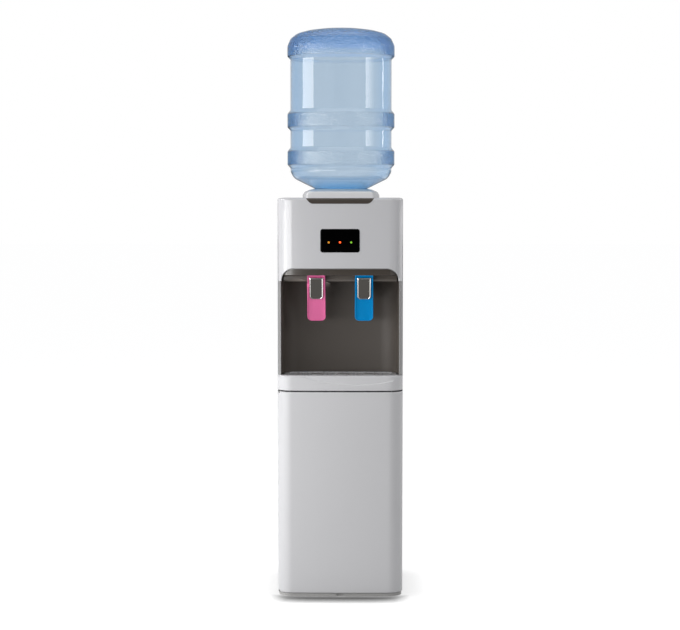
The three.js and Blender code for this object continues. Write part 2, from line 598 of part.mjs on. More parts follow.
function bottle() {
  const outline = [...bottleProfile(0), ...bottleProfile(BOTTLE.wall).reverse()];
  piece('bottle_shell', turned([...outline, outline[0]], 36), BOTTLE_BLUE);
  const { neckR, neckEnd } = BOTTLE;
  const capProfile = [
    [12, neckEnd - 2.5], [neckR + 3.5, neckEnd - 2.5], [neckR + 3.5, neckEnd + 20],
    [neckR + GAP, neckEnd + 20], [neckR + GAP, neckEnd - GAP], [12, neckEnd - GAP], [12, neckEnd - 2.5],
  ];
  piece('bottle_cap', turned(capProfile, 28), BLUE);
}

// ---- assembly -----------------------------------------------------------------------------------
base();
sidePanel('side_panel_left', -1);
sidePanel('side_panel_right', 1);
backPanel();
topCover();
fascia();
display();
nicheSide('niche_bezel_left', -1);
nicheSide('niche_bezel_right', 1);
nicheWall();
visor();
tap(-1, 'hot', PINK);
tap(1, 'cold', BLUE);
dripTray();
storageBay();
door();
tanks();
cooling();
rearFittings();
collar();
bottle();

export default unit;
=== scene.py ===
"""Visual model of a floor-standing bottled water dispenser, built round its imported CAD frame.

Lengths are metres in the CAD frame. Its origin is on the floor in the middle of the footprint, +Z is up
and the front faces -Y.
"""

import json
import logging
import math
from dataclasses import dataclass
from enum import Enum
from functools import reduce
from typing import Callable, Sequence

import bpy
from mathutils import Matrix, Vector
from mathutils.geometry import tessellate_polygon


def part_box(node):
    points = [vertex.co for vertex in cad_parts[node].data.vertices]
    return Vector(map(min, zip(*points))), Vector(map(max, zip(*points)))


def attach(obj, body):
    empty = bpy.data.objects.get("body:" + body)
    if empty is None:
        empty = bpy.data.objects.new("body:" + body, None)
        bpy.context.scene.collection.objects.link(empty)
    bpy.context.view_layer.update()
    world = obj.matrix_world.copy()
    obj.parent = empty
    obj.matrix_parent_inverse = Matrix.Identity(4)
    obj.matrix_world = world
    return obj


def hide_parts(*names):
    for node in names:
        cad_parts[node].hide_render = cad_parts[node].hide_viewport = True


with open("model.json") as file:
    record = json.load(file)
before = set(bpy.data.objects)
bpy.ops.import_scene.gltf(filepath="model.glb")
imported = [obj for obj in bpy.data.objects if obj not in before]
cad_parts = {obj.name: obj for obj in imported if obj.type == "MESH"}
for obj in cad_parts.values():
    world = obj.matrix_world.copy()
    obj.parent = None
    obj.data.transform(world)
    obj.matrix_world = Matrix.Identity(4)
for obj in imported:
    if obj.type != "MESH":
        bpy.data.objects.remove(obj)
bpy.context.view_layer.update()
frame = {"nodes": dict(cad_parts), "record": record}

log = logging.getLogger("dispenser")

MM = 0.001
Point2 = tuple[float, float]
Point3 = tuple[float, float, float]
Loop = list[Point3]
Colour = tuple[float, float, float]
Tree = bpy.types.NodeTree
Node = bpy.types.Node
Socket = bpy.types.NodeSocket
Outputs = bpy.types.bpy_prop_collection
Material = bpy.types.Material
Piece = bpy.types.Object
Feed = Socket | float | tuple[float, float, float]
Feeds = dict[str | int, Feed]
Profile = Sequence[Point2]
SHARP_ANGLE = math.radians(34)


class Axis(Enum):
    """The axis that a turned piece goes round."""

    UPRIGHT = "z"
    FRONT_TO_REAR = "y"
    ACROSS = "x"


# ---------------------------------------------------------------- shader wiring


class Wiring:
    """Adds nodes to one shader tree and joins them up."""

    def __init__(self, tree: Tree) -> None:
        """Keep the tree."""
        self.tree = tree

    def feed(self, socket: Socket, value: Feed) -> None:
        """Give an input a plain value, or join another node's output to it.

        Args:
            socket: The input.
            value: An output socket, a number, a vector or a colour.
        """
        if isinstance(value, Socket):
            self.tree.links.new(value, socket)
        elif isinstance(value, tuple) and socket.type == "RGBA":
            socket.default_value = (*value, 1.0)
        else:
            socket.default_value = value

    def add(self, kind: str, feeds: Feeds | None = None, **settings: str | int | Tree) -> Node:
        """Add a node and feed its inputs.

        Args:
            kind: The node's type, without the prefix that all shader nodes share.
            feeds: What each input gets, by its name or number.
            **settings: The node's own settings.

        Returns:
            The node.
        """
        node = self.tree.nodes.new(f"ShaderNode{kind}")
        for setting, value in settings.items():
            setattr(node, setting, value)
        for name, value in (feeds or {}).items():
            self.feed(node.inputs[name], value)
        return node

    def maths(self, operation: str, a: Feed, b: Feed = 0.0) -> Socket:
        """Return two values combined by one operation."""
        return self.add("Math", {0: a, 1: b}, operation=operation).outputs[0]

    def split(self, vector: Socket) -> Outputs:
        """Return the X, Y and Z of a vector."""
        return self.add("SeparateXYZ", {0: vector}).outputs

    def ramp(self, value: Feed, span: Point2, out: tuple[Feed, Feed] = (0.0, 1.0),
             smooth: bool = False) -> Socket:
        """Map a value from one span to another, held at both ends.

        Args:
            value: The value.
            span: Where the result starts and ends.
            out: The results at the two ends.
            smooth: Whether the result eases in and out.

        Returns:
            The result's socket.
        """
        feeds = {"Value": value, "From Min": span[0], "From Max": span[1], "To Min": out[0], "To Max": out[1]}
        curve = "SMOOTHSTEP" if smooth else "LINEAR"
        return self.add("MapRange", feeds, interpolation_type=curve).outputs["Result"]

    def blend(self, factor: Feed, a: Feed, b: Feed, kind: str = "RGBA") -> Socket:
        """Return one colour blended into another, or one number where the kind is FLOAT."""
        return self.add("Mix", {"Factor": factor, "A": a, "B": b}, data_type=kind).outputs["Result"]

    def noise(self, scale: Feed, detail: float, stretch: Point3 = (1, 1, 1)) -> Socket:
        """Return a noise in the piece's own coordinates.

        Args:
            scale: Noise scale, per metre.
            detail: Noise detail.
            stretch: Factors on the coordinates along X, Y and Z.

        Returns:
            The noise's socket.
        """
        place = self.add("TexCoord").outputs["Object"]
        mapped = self.add("Mapping", {"Vector": place, "Scale": stretch}).outputs["Vector"]
        return self.add("TexNoise", {"Vector": mapped, "Scale": scale, "Detail": detail}).outputs["Fac"]


class Shading(Wiring):
    """A new node material with its Principled shader."""

    def __init__(self, name: str) -> None:
        """Make the material."""
        self.material = bpy.data.materials.new(name)
        self.material.use_nodes = True
        super().__init__(self.material.node_tree)
        self.shader = self.tree.nodes["Principled BSDF"]

    def effect(self, group: Tree, **values: float | Colour) -> Outputs:
        """Place a shared effect with its own values.

        Args:
            group: The effect's group.
            **values: Input values by socket name.

        Returns:
            The effect's outputs.
        """
        return self.add("Group", values, node_tree=group).outputs

    def bump(self, height: Socket, strength: float, distance: float) -> Socket:
        """Return a normal that follows a height, over a distance in metres."""
        feeds = {"Height": height, "Strength": strength, "Distance": distance}
        return self.add("Bump", feeds).outputs["Normal"]

    def finish(self, feeds: Feeds) -> Material:
        """Feed the Principled shader's inputs and return the material."""
        for name, value in feeds.items():
            self.feed(self.shader.inputs[name], value)
        return self.material


# ---------------------------------------------------------------- shared effects


class Effects:
    """Node groups for surface effects that several finishes share, each built once."""

    _made: dict[str, Tree] = {}

    @classmethod
    def _group(cls, name: str, inputs: dict[str, float | Colour],
               wire: Callable[[Wiring, Outputs], dict[str, Socket]]) -> Tree:
        """Build a group with named sockets the first time that it is asked for.

        Args:
            name: The group's name.
            inputs: Input names with their default values; a tuple makes a colour socket.
            wire: Lays the nodes from the group's inputs and returns its outputs by name.

        Returns:
            The group's tree.
        """
        if name in cls._made:
            return cls._made[name]
        tree = bpy.data.node_groups.new(name, "ShaderNodeTree")
        for label, default in inputs.items():
            kind = "NodeSocketColor" if isinstance(default, tuple) else "NodeSocketFloat"
            socket = tree.interface.new_socket(label, in_out="INPUT", socket_type=kind)
            socket.default_value = (*default, 1.0) if isinstance(default, tuple) else default
        given = tree.nodes.new("NodeGroupInput").outputs
        results = wire(Wiring(tree), given)
        for label, result in results.items():
            kind = "NodeSocketColor" if result.type == "RGBA" else "NodeSocketFloat"
            tree.interface.new_socket(label, in_out="OUTPUT", socket_type=kind)
        taken = tree.nodes.new("NodeGroupOutput").inputs
        for label, result in results.items():
            tree.links.new(result, taken[label])
        cls._made[name] = tree
        return tree

    @classmethod
    def grain(cls) -> Tree:
        """Return fine moulding grain or sheet texture: a Height from a Scale and a Depth."""
        def wire(tree: Wiring, given: Outputs) -> dict[str, Socket]:
            """Deepen a fine noise."""
            return {"Height": tree.maths("MULTIPLY", tree.noise(given["Scale"], 3.0), given["Depth"])}

        return cls._group("Moulding grain", {"Scale": 900.0, "Depth": 1.0}, wire)

    @classmethod
    def smudge(cls) -> Tree:
        """Return soft handling marks: a Roughness between Clean and Worn."""
        def wire(tree: Wiring, given: Outputs) -> dict[str, Socket]:
            """Spread a broad noise between the two."""
            marks = tree.noise(9.0, 5.0, (1.0, 1.0, 0.5))
            return {"Roughness": tree.ramp(marks, (0.35, 0.7), (given["Clean"], given["Worn"]))}

        return cls._group("Handling smudge", {"Clean": 0.2, "Worn": 0.3}, wire)

    @classmethod
    def dust(cls) -> Tree:
        """Return light dust on faces that look up, with a slight drift of tone everywhere: a Color."""
        def wire(tree: Wiring, given: Outputs) -> dict[str, Socket]:
            """Drift the base's tone and lay specks of dust over what looks up."""
            normal = tree.add("NewGeometry").outputs["Normal"]
            upward = tree.ramp(tree.split(normal)["Z"], (0.55, 1.0))
            speck = tree.maths("MULTIPLY", upward, tree.noise(38.0, 6.0))
            amount = tree.maths("MULTIPLY", speck, given["Amount"])
            drift = tree.ramp(tree.noise(3.2, 2.0), (0.0, 1.0), (0.965, 1.02))
            tone = tree.add("VectorMath", {0: given["Base"], "Scale": drift}, operation="SCALE").outputs[0]
            return {"Color": tree.blend(amount, tone, given["Dust"])}

        inputs = {"Base": (0.8, 0.8, 0.8), "Dust": (0.55, 0.53, 0.5), "Amount": 0.1}
        return cls._group("Settled dust", inputs, wire)

    @classmethod
    def brushing(cls) -> Tree:
        """Return fine lines of brushed or drawn metal: a Height and a Roughness between Low and High."""
        def wire(tree: Wiring, given: Outputs) -> dict[str, Socket]:
            """Stretch a fine noise into lines."""
            lines = tree.noise(420.0, 2.0, (1.0, 1.0, 0.03))
            return {
                "Height": tree.maths("MULTIPLY", lines, given["Depth"]),
                "Roughness": tree.ramp(lines, (0.0, 1.0), (given["Low"], given["High"])),
            }

        return cls._group("Brushed lines", {"Depth": 1.0, "Low": 0.2, "High": 0.35}, wire)


# ---------------------------------------------------------------- finishes


@dataclass(frozen=True)
class Moulded:
    """A moulded plastic, painted sheet or rubber finish."""

    name: str
    slot: str
    colour: Colour
    clean: float
    worn: float
    grain_scale: float = 900.0
    grain: float = 0.06
    dust: float = 0.12
    coat: float = 0.0
    coat_roughness: float = 0.06
    specular: float = 0.5
    grain_reach: float = 0.0004

    def build(self) -> Material:
        """Return the finish as a material."""
        paint = Shading(self.name)
        dust = paint.effect(Effects.dust(), Base=self.colour, Amount=self.dust)
        smudge = paint.effect(Effects.smudge(), Clean=self.clean, Worn=self.worn)
        grain = paint.effect(Effects.grain(), Scale=self.grain_scale)
        return paint.finish({
            "Base Color": dust["Color"],
            "Roughness": smudge["Roughness"],
            "Coat Weight": self.coat,
            "Coat Roughness": self.coat_roughness,
            "Specular IOR Level": self.specular,
            "Normal": paint.bump(grain["Height"], self.grain, self.grain_reach),
        })


@dataclass(frozen=True)
class Metal:
    """A plated, brushed or drawn metal finish."""

    name: str
    slot: str
    colour: Colour
    low: float
    high: float
    depth: float = 0.05
    dust: float = 0.05
    line_reach: float = 0.0002

    def build(self) -> Material:
        """Return the finish as a material."""
        paint = Shading(self.name)
        lines = paint.effect(Effects.brushing(), Low=self.low, High=self.high)
        dust = paint.effect(Effects.dust(), Base=self.colour, Amount=self.dust)
        return paint.finish({
            "Metallic": 1.0,
            "Base Color": dust["Color"],
            "Roughness": lines["Roughness"],
            "Normal": paint.bump(lines["Height"], self.depth, self.line_reach),
        })


@dataclass(frozen=True)
class Lamp:
    """A small coloured lamp, brightest in its middle."""

    name: str
    slot: str
    colour: Colour
    edge: Colour
    strength: float

    def build(self) -> Material:
        """Return the finish as a material."""
        paint = Shading(self.name)
        facing = paint.add("LayerWeight", {"Blend": 0.35}).outputs["Facing"]
        smudge = paint.effect(Effects.smudge(), Clean=0.15, Worn=0.25)
        dust = paint.effect(Effects.dust(), Base=self.edge, Amount=0.05)
        return paint.finish({
            "Emission Color": paint.blend(facing, self.colour, self.edge),
            "Emission Strength": self.strength,
            "Base Color": dust["Color"],
            "Roughness": smudge["Roughness"],
        })


@dataclass(frozen=True)
class TintedClear:
    """Clear tinted polycarbonate, pebbled where the height bands say and deeper where it is seen edge on."""

    name: str
    slot: str
    clear: Colour
    edge: Colour
    deep: Colour
    speck: Colour
    neck: Colour
    bands: tuple[Point2, ...]
    neck_fade: Point2
    dome_fade: Point2
    band_edge: float = 0.004
    pebble_scale: float = 230.0
    pebble_depth: float = 0.0010

    def band_mask(self, paint: Shading, height: Socket) -> Socket:
        """Return a mask that is 1 inside the bands of height and 0 outside."""
        masks: list[Socket] = []
        for low, high in self.bands:
            middle, half = (low + high) / 2, (high - low) / 2
            away = paint.maths("ABSOLUTE", paint.maths("SUBTRACT", height, middle))
            masks.append(paint.ramp(away, (half + self.band_edge, half), smooth=True))
        return reduce(lambda a, b: paint.maths("MAXIMUM", a, b), masks)

    def build(self) -> Material:
        """Return the finish as a material."""
        paint = Shading(self.name)
        place = paint.add("TexCoord").outputs["Object"]
        height = paint.split(place)["Z"]
        mask = self.band_mask(paint, height)
        pebble = paint.add("TexVoronoi", {"Vector": place, "Scale": self.pebble_scale}).outputs["Distance"]
        facing = paint.add("LayerWeight", {"Blend": 0.5}).outputs["Facing"]
        turned = paint.ramp(facing, (0.12, 0.62), smooth=True)
        rim = paint.maths("MULTIPLY", paint.ramp(facing, (0.22, 0.80), smooth=True), mask)
        domed = paint.maths("MULTIPLY", paint.ramp(height, self.dome_fade, smooth=True), 0.22)
        speckle = paint.maths("MULTIPLY", paint.ramp(pebble, (0.45, 0.05), smooth=True), 0.9)
        spotted = paint.maths("MULTIPLY", speckle, mask)
        colour = paint.blend(turned, self.clear, self.edge)
        colour = paint.blend(paint.maths("MAXIMUM", rim, domed), colour, self.deep)
        colour = paint.blend(paint.maths("MULTIPLY", spotted, turned), colour, self.speck)
        colour = paint.blend(paint.ramp(height, self.neck_fade[::-1], smooth=True), colour, self.neck)
        return paint.finish({
            "Transmission Weight": 1.0,
            "IOR": 1.45,
            "Base Color": colour,
            "Roughness": paint.ramp(mask, (0.0, 1.0), (0.012, 0.07)),
            "Normal": paint.bump(paint.maths("MULTIPLY", pebble, mask), 1.0, self.pebble_depth),
        })


class Finishes:
    """Every finish of the dispenser, built on first use."""

    WHITE = Moulded(
        "White gloss moulding", "white_plastic", (0.74, 0.74, 0.76), 0.12, 0.16, 1400.0, 0.015, 0.05, 0.5,
    )
    # Painted light: the white moulding made brighter for the collar and its bridge, standing in for the light
    # from above.
    PAINTED_BRIGHT_WHITE = Moulded(
        "White moulding painted bright for the collar", "white_plastic", (0.90, 0.90, 0.915), 0.12, 0.16, 1400.0, 0.015, 0.03, 0.9,
    )
    SATIN = Moulded(
        "White satin moulding", "white_plastic", (0.74, 0.74, 0.755), 0.40, 0.46, 1400.0, 0.04, 0.05,
    )
    SHEET = Moulded(
        "White painted sheet", "white_sheet", (0.72, 0.725, 0.735), 0.3, 0.4, 1100.0, 0.12, 0.08,
    )
    GREY = Moulded("Pale grey moulding", "pale_grey_plastic", (0.33, 0.33, 0.33), 0.3, 0.4, 900.0, 0.05)
    TAUPE = Moulded(
        "Dark taupe moulding", "taupe_plastic", (0.102, 0.087, 0.074), 0.5, 0.58, 1300.0, 0.05, 0.05,
    )
    GLOSS_TAUPE = Moulded(
        "Dark taupe gloss moulding", "taupe_plastic", (0.085, 0.072, 0.061), 0.14, 0.18, 1300.0, 0.01, 0.04,
        0.3,
    )
    # Painted light: the dark taupe made lighter for the visor's step, standing in for the light that catches
    # its rounded ledge.
    PAINTED_LIGHT_TAUPE = Moulded(
        "Dark taupe painted lighter for the step", "taupe_plastic", (0.14, 0.12, 0.102), 0.26, 0.32, 1300.0, 0.01, 0.04, 0.2,
    )
    BLACK_GLOSS = Moulded(
        "Black display lens", "black_gloss", (0.001, 0.001, 0.001), 0.03, 0.05, 900.0, 0.0, 0.0,
    )
    BLACK = Moulded("Black fittings", "black_plastic", (0.018, 0.018, 0.019), 0.4, 0.5)
    RUBBER = Moulded("Rubber feet", "rubber_feet", (0.03, 0.03, 0.028), 0.75, 0.9, 700.0, 0.3)
    PLINTH = Moulded("Plinth moulding", "plinth_plastic", (0.48, 0.475, 0.465), 0.5, 0.6)
    PINK = Moulded(
        "Pink lever", "pink_plastic", (0.96, 0.175, 0.44), 0.24, 0.30, 1300.0, 0.02, 0.0, specular=0.6,
    )
    BLUE = Moulded(
        "Blue lever", "blue_plastic", (0.0, 0.31, 0.74), 0.24, 0.30, 1300.0, 0.02, 0.0, specular=0.12,
    )
    BOARD = Moulded("Lacquered circuit board", "circuit_board", (0.03, 0.16, 0.06), 0.3, 0.45)
    SILICONE = Moulded("Silicone hose", "silicone", (0.75, 0.73, 0.68), 0.35, 0.5)
    # Painted shade: the lever plate's chrome darkened to stand in for the dark surroundings that its face
    # reflects; the frame keeps bright chrome.
    PAINTED_SHADE_CHROME = Metal("Chrome darkened with painted shade for the lever plate", "chrome_trim", (0.088, 0.083, 0.077), 0.14, 0.2, 0.02)
    POLISHED = Metal("Polished chrome frame", "chrome_trim", (0.86, 0.85, 0.83), 0.08, 0.14, 0.01)
    STEEL = Metal("Brushed steel", "steel", (0.55, 0.56, 0.57), 0.25, 0.4)
    ALUMINIUM = Metal("Extruded aluminium", "aluminium", (0.62, 0.63, 0.65), 0.3, 0.5)
    AMBER = Lamp("Amber lamp", "lamp_amber", (0.10, 0.03, 0.0), (0.95, 0.34, 0.0), 1.2)
    RED = Lamp("Red lamp", "lamp_red", (1.0, 0.11, 0.01), (0.95, 0.008, 0.0), 1.8)
    GREEN = Lamp("Green lamp", "lamp_green", (0.22, 0.50, 0.02), (0.03, 0.20, 0.0), 1.0)

    _built: dict[str, Material] = {}

    @classmethod
    def get(cls, finish: "Moulded | Metal | Lamp | TintedClear") -> Material:
        """Return the material of a finish, building it the first time.

        Args:
            finish: The finish wanted.

        Returns:
            Its material.
        """
        if finish.name not in cls._built:
            cls._built[finish.name] = finish.build()
        return cls._built[finish.name]


AnyFinish = Moulded | Metal | Lamp | TintedClear


# ---------------------------------------------------------------- mesh tools


def encloses(points: Sequence[Point3], faces: Sequence[Sequence[int]]) -> float:
    """Return six times the volume that the faces enclose, below zero if they face inwards."""
    total = 0.0
    for face in faces:
        a = Vector(points[face[0]])
        for i, j in zip(face[1:], face[2:]):
            total += a.dot(Vector(points[i]).cross(Vector(points[j])))
    return total


def make_piece(name: str, points: Sequence[Point3], faces: Sequence[Sequence[int]],
               closed: bool = True) -> Piece:
    """Make a smooth-shaded mesh object with sharp edges where it turns sharply.

    Args:
        name: The object's name.
        points: Vertex positions.
        faces: Vertex indices of each face, wound alike.
        closed: Whether the faces enclose a solid, which is then turned to face outwards.

    Returns:
        The new object, linked to the scene.
    """
    if closed and encloses(points, faces) < 0:
        faces = [list(face)[::-1] for face in faces]
    mesh = bpy.data.meshes.new(name)
    mesh.from_pydata([tuple(p) for p in points], [], [tuple(f) for f in faces])
    mesh.validate()
    mesh.shade_smooth()
    mesh.set_sharp_from_angle(angle=SHARP_ANGLE)
    piece = bpy.data.objects.new(name, mesh)
    bpy.context.collection.objects.link(piece)
    return piece


def loft(name: str, loops: Sequence[Sequence[Point3]], ring: bool = False) -> Piece:
    """Skin a row of closed loops that all have the same number of points.

    Args:
        name: The object's name.
        loops: The loops, in order; each runs counter-clockwise seen from the far end.
        ring: Whether the last loop joins back to the first; otherwise both ends are filled.

    Returns:
        The new object.
    """
    count = len(loops[0])
    points = [point for loop in loops for point in loop]
    faces: list[list[int]] = []
    pairs = len(loops) if ring else len(loops) - 1
    for row in range(pairs):
        a, b = row * count, ((row + 1) % len(loops)) * count
        for i in range(count):
            j = (i + 1) % count
            faces.append([a + i, a + j, b + j, b + i])
    if not ring:
        faces.append(list(range(count))[::-1])
        faces.append([(len(loops) - 1) * count + i for i in range(count)])
    return make_piece(name, points, faces)


def prism(name: str, outline: Sequence[Point2], z0: float, z1: float,
          holes: Sequence[Sequence[Point2]] = ()) -> Piece:
    """Make a flat slab with holes through it.

    Args:
        name: The object's name.
        outline: The outline in plan, counter-clockwise.
        z0: Lower face.
        z1: Upper face.
        holes: Hole outlines, clockwise.

    Returns:
        The new object.
    """
    rings = [list(outline), *[list(hole) for hole in holes]]
    flat = [(x, y) for ring in rings for x, y in ring]
    total = len(flat)
    points = [(x, y, z0) for x, y in flat] + [(x, y, z1) for x, y in flat]
    faces: list[list[int]] = []
    start = 0
    for ring in rings:
        for i in range(len(ring)):
            a, b = start + i, start + (i + 1) % len(ring)
            faces.append([a, b, b + total, a + total])
        start += len(ring)
    for tri in tessellate_polygon([[Vector((x, y, 0)) for x, y in ring] for ring in rings]):
        (ax, ay), (bx, by), (cx, cy) = (flat[i] for i in tri)
        up = (bx - ax) * (cy - ay) - (by - ay) * (cx - ax) > 0
        top = list(tri) if up else list(tri)[::-1]
        faces.append([i + total for i in top])
        faces.append(top[::-1])
    return make_piece(name, points, faces)


def turn(name: str, profile: Sequence[Point2], sides: int, centre: Point3 = (0, 0, 0),
         axis: Axis = Axis.UPRIGHT) -> Piece:
    """Turn a closed profile about an axis.

    Args:
        name: The object's name.
        profile: Points of radius and height, counter-clockwise; radius stays above zero.
        sides: Number of steps round the axis.
        centre: Where the axis passes and height zero is.
        axis: The axis to turn about.

    Returns:
        The new object.
    """
    cx, cy, cz = centre
    loops: list[Loop] = []
    for k in range(sides):
        angle = 2 * math.pi * k / sides
        c, s = math.cos(angle), math.sin(angle)
        if axis is Axis.UPRIGHT:
            loops.append([(cx + r * c, cy + r * s, cz + h) for r, h in profile])
        elif axis is Axis.FRONT_TO_REAR:
            loops.append([(cx + r * s, cy + h, cz + r * c) for r, h in profile])
        else:
            loops.append([(cx + h, cy + r * c, cz + r * s) for r, h in profile])
    return loft(name, loops, ring=True)


def soften(piece: Piece, width: float, steps: int = 3, angle: float = 34.0) -> Piece:
    """Round the sharp edges of a piece.

    Args:
        piece: The piece.
        width: Rounding width.
        steps: Segments across the rounding.
        angle: Edges sharper than this, in degrees, are rounded.

    Returns:
        The same piece.
    """
    bevel = piece.modifiers.new("Edge rounding", "BEVEL")
    bevel.width = width
    bevel.segments = steps
    bevel.limit_method = "ANGLE"
    bevel.angle_limit = math.radians(angle)
    bevel.harden_normals = True
    return piece


def dress(piece: Piece, finish: AnyFinish, body: str, *nodes: str) -> Piece:
    """Give a piece its finish, its body and the CAD nodes it stands for.

    Args:
        piece: The piece.
        finish: Its finish.
        body: The CAD body it rides on.
        *nodes: CAD nodes that it replaces.

    Returns:
        The same piece.
    """
    piece.data.materials.clear()
    piece.data.materials.append(Finishes.get(finish))
    weigh = piece.modifiers.new("Flat faces stay flat", "WEIGHTED_NORMAL")
    weigh.keep_sharp = True
    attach(piece, body)
    if nodes:
        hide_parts(*nodes)
    log.info("built %s on %s", piece.name, body)
    return piece


def dress_node(node: str, finish: AnyFinish, rounding: float = 0.0) -> Piece:
    """Give a carried-over CAD node its finish.

    Args:
        node: The node's name.
        finish: Its finish.
        rounding: Width of its edge rounding, or 0 for none.

    Returns:
        The node's object.
    """
    piece = frame["nodes"][node]
    piece.data.materials.clear()
    piece.data.materials.append(Finishes.get(finish))
    if rounding:
        soften(piece, rounding, 2)
    log.info("dressed %s", node)
    return piece


def quarter(steps: int) -> list[float]:
    """Return the angles of a quarter turn, both ends included."""
    return [math.pi / 2 * i / steps for i in range(steps + 1)]


def arc(cx: float, cy: float, r: float, start: float, end: float, steps: int) -> list[Point2]:
    """Return points along an arc, both ends included.

    Args:
        cx: Centre, first coordinate.
        cy: Centre, second coordinate.
        r: Radius.
        start: First angle, in degrees.
        end: Last angle, in degrees.
        steps: Number of steps.

    Returns:
        The points.
    """
    angles = [math.radians(start + (end - start) * i / steps) for i in range(steps + 1)]
    return [(cx + r * math.cos(a), cy + r * math.sin(a)) for a in angles]


def rounded_rect(x0: float, x1: float, y0: float, y1: float, r: float, steps: int = 8) -> list[Point2]:
    """Return a rounded rectangle, counter-clockwise.

    Args:
        x0: Left side.
        x1: Right side.
        y0: Lower side.
        y1: Upper side.
        r: Corner radius.
        steps: Steps round each corner.

    Returns:
        The points.
    """
    return [
        *arc(x1 - r, y0 + r, r, -90, 0, steps),
        *arc(x1 - r, y1 - r, r, 0, 90, steps),
        *arc(x0 + r, y1 - r, r, 90, 180, steps),
        *arc(x0 + r, y0 + r, r, 180, 270, steps),
    ]


def filleted(corners: Sequence[tuple[float, float, float]], steps: int = 6) -> list[Point2]:
    """Round the corners of an open line.

    Args:
        corners: Points with a rounding radius each; the ends are kept sharp.
        steps: Steps round each corner.

    Returns:
        The rounded line's points.
    """
    line: list[Point2] = [corners[0][:2]]
    for before, (x, y, r), after in zip(corners, corners[1:-1], corners[2:]):
        here = Vector((x, y))
        back = Vector(before[:2]) - here
        ahead = Vector(after[:2]) - here
        half = back.angle(ahead) / 2
        if r <= 0 or half > math.radians(89.5):
            line.append((x, y))
            continue
        reach = min(r / math.tan(half), back.length * 0.49, ahead.length * 0.49)
        radius = reach * math.tan(half)
        centre = here + (back.normalized() + ahead.normalized()).normalized() * (radius / math.sin(half))
        first = here + back.normalized() * reach - centre
        last = here + ahead.normalized() * reach - centre
        sweep = first.angle_signed(last)
        for i in range(steps + 1):
            a = -sweep * i / steps
            c, s = math.cos(a), math.sin(a)
            line.append((centre.x + first.x * c - first.y * s, centre.y + first.x * s + first.y * c))
    line.append(corners[-1][:2])
    return line


# ---------------------------------------------------------------- the cabinet's plan


@dataclass(frozen=True)
class Station:
    """A place on the cabinet's outline in plan, with the direction that points into the cabinet."""

    x: float
    y: float
    nx: float
    ny: float

    def at(self, inset: float) -> Point2:
        """Return the point that lies an inset inside the outline."""
        return self.x + self.nx * inset, self.y + self.ny * inset


class CabinetPlan:
    """The cabinet's outline in plan, read from the frame."""

    def __init__(self) -> None:
        """Read the outline's sizes from the CAD boxes."""
        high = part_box("top_cover")[1]
        self.half = high[0]
        self.rear = high[1]
        self.top = high[2]
        self.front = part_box("display_lens")[0][1]
        self.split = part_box("fascia")[1][1]
        self.corner = 38 * MM
        self.rear_corner = 12 * MM
        crown, flat = 3 * MM, self.half - self.corner
        self.crown_radius = (flat**2 + crown**2) / (2 * crown)
        reach = self.crown_radius - self.corner
        self.corner_x = flat
        self.corner_y = self.front + self.crown_radius - math.sqrt(reach**2 - flat**2)
        self.tangent_x = flat * self.crown_radius / reach

    def front_at(self, x: float) -> Station:
        """Return the station on the front face or corner at a place across the cabinet."""
        side = -1.0 if x < 0 else 1.0
        if abs(x) <= self.tangent_x:
            angle = math.asin(x / self.crown_radius)
            y = self.front + self.crown_radius * (1 - math.cos(angle))
            return Station(x, y, -math.sin(angle), math.cos(angle))
        c = min((abs(x) - self.corner_x) / self.corner, 1.0)
        s = math.sqrt(1 - c * c)
        return Station(x, self.corner_y - self.corner * s, -side * c, s)

    def front_xs(self, extra: Sequence[float] = ()) -> list[float]:
        """Return places across the front that follow its corners and crown.

        Args:
            extra: Further places to include on both sides.

        Returns:
            Places from left to right.
        """
        turn_end = math.degrees(math.acos((self.tangent_x - self.corner_x) / self.corner))
        corner = [self.corner_x + self.corner * math.cos(math.radians(turn_end * i / 22)) for i in range(23)]
        flat = [self.tangent_x * i / 14 for i in range(1, 14)]
        right = sorted({round(x, 6) for x in [*corner, *flat, *extra]})
        return [-x for x in reversed(right)] + [0.0] + right

    def front_stations(self, end_y: float, extra: Sequence[float] = ()) -> list[Station]:
        """Return stations from the left side round the front to the right side.

        Args:
            end_y: How far back the sides reach.
            extra: Further places across to include.

        Returns:
            The stations, from left to right.
        """
        stations = [self.front_at(x) for x in self.front_xs(extra)]
        stations = [s for s in stations if s.y < end_y - 0.2 * MM]
        ends = []
        for side in (-1.0, 1.0):
            if end_y > self.corner_y:
                ends.append(Station(side * self.half, end_y, -side, 0.0))
                continue
            c = math.sqrt(self.corner**2 - (end_y - self.corner_y) ** 2) / self.corner
            x = side * (self.corner_x + self.corner * c)
            ends.append(Station(x, end_y, -side * c, math.sqrt(1 - c * c)))
        return [ends[0], *stations, ends[1]]

    def corner_stations(self, side: float, start_y: float) -> list[Station]:
        """Return stations along one side and round its rear corner.

        Args:
            side: -1 for the left side, 1 for the right.
            start_y: How far forward the side reaches.

        Returns:
            The stations, from front to rear.
        """
        r = self.rear_corner
        stations = [Station(side * self.half, start_y, -side, 0.0)]
        for t in quarter(8):
            c, s = math.cos(t), math.sin(t)
            stations.append(Station(side * (self.half - r + r * c), self.rear - r + r * s, -side * c, -s))
        return stations

    def rear_stations(self, start_y: float) -> list[Station]:
        """Return stations from the right side round the rear to the left side."""
        return self.corner_stations(1.0, start_y) + self.corner_stations(-1.0, start_y)[::-1]

    def front_outline(self, inset: float, end_y: float) -> list[Point2]:
        """Return the closed outline of everything in front of end_y, set in by an inset."""
        return [s.at(inset) for s in self.front_stations(end_y)]


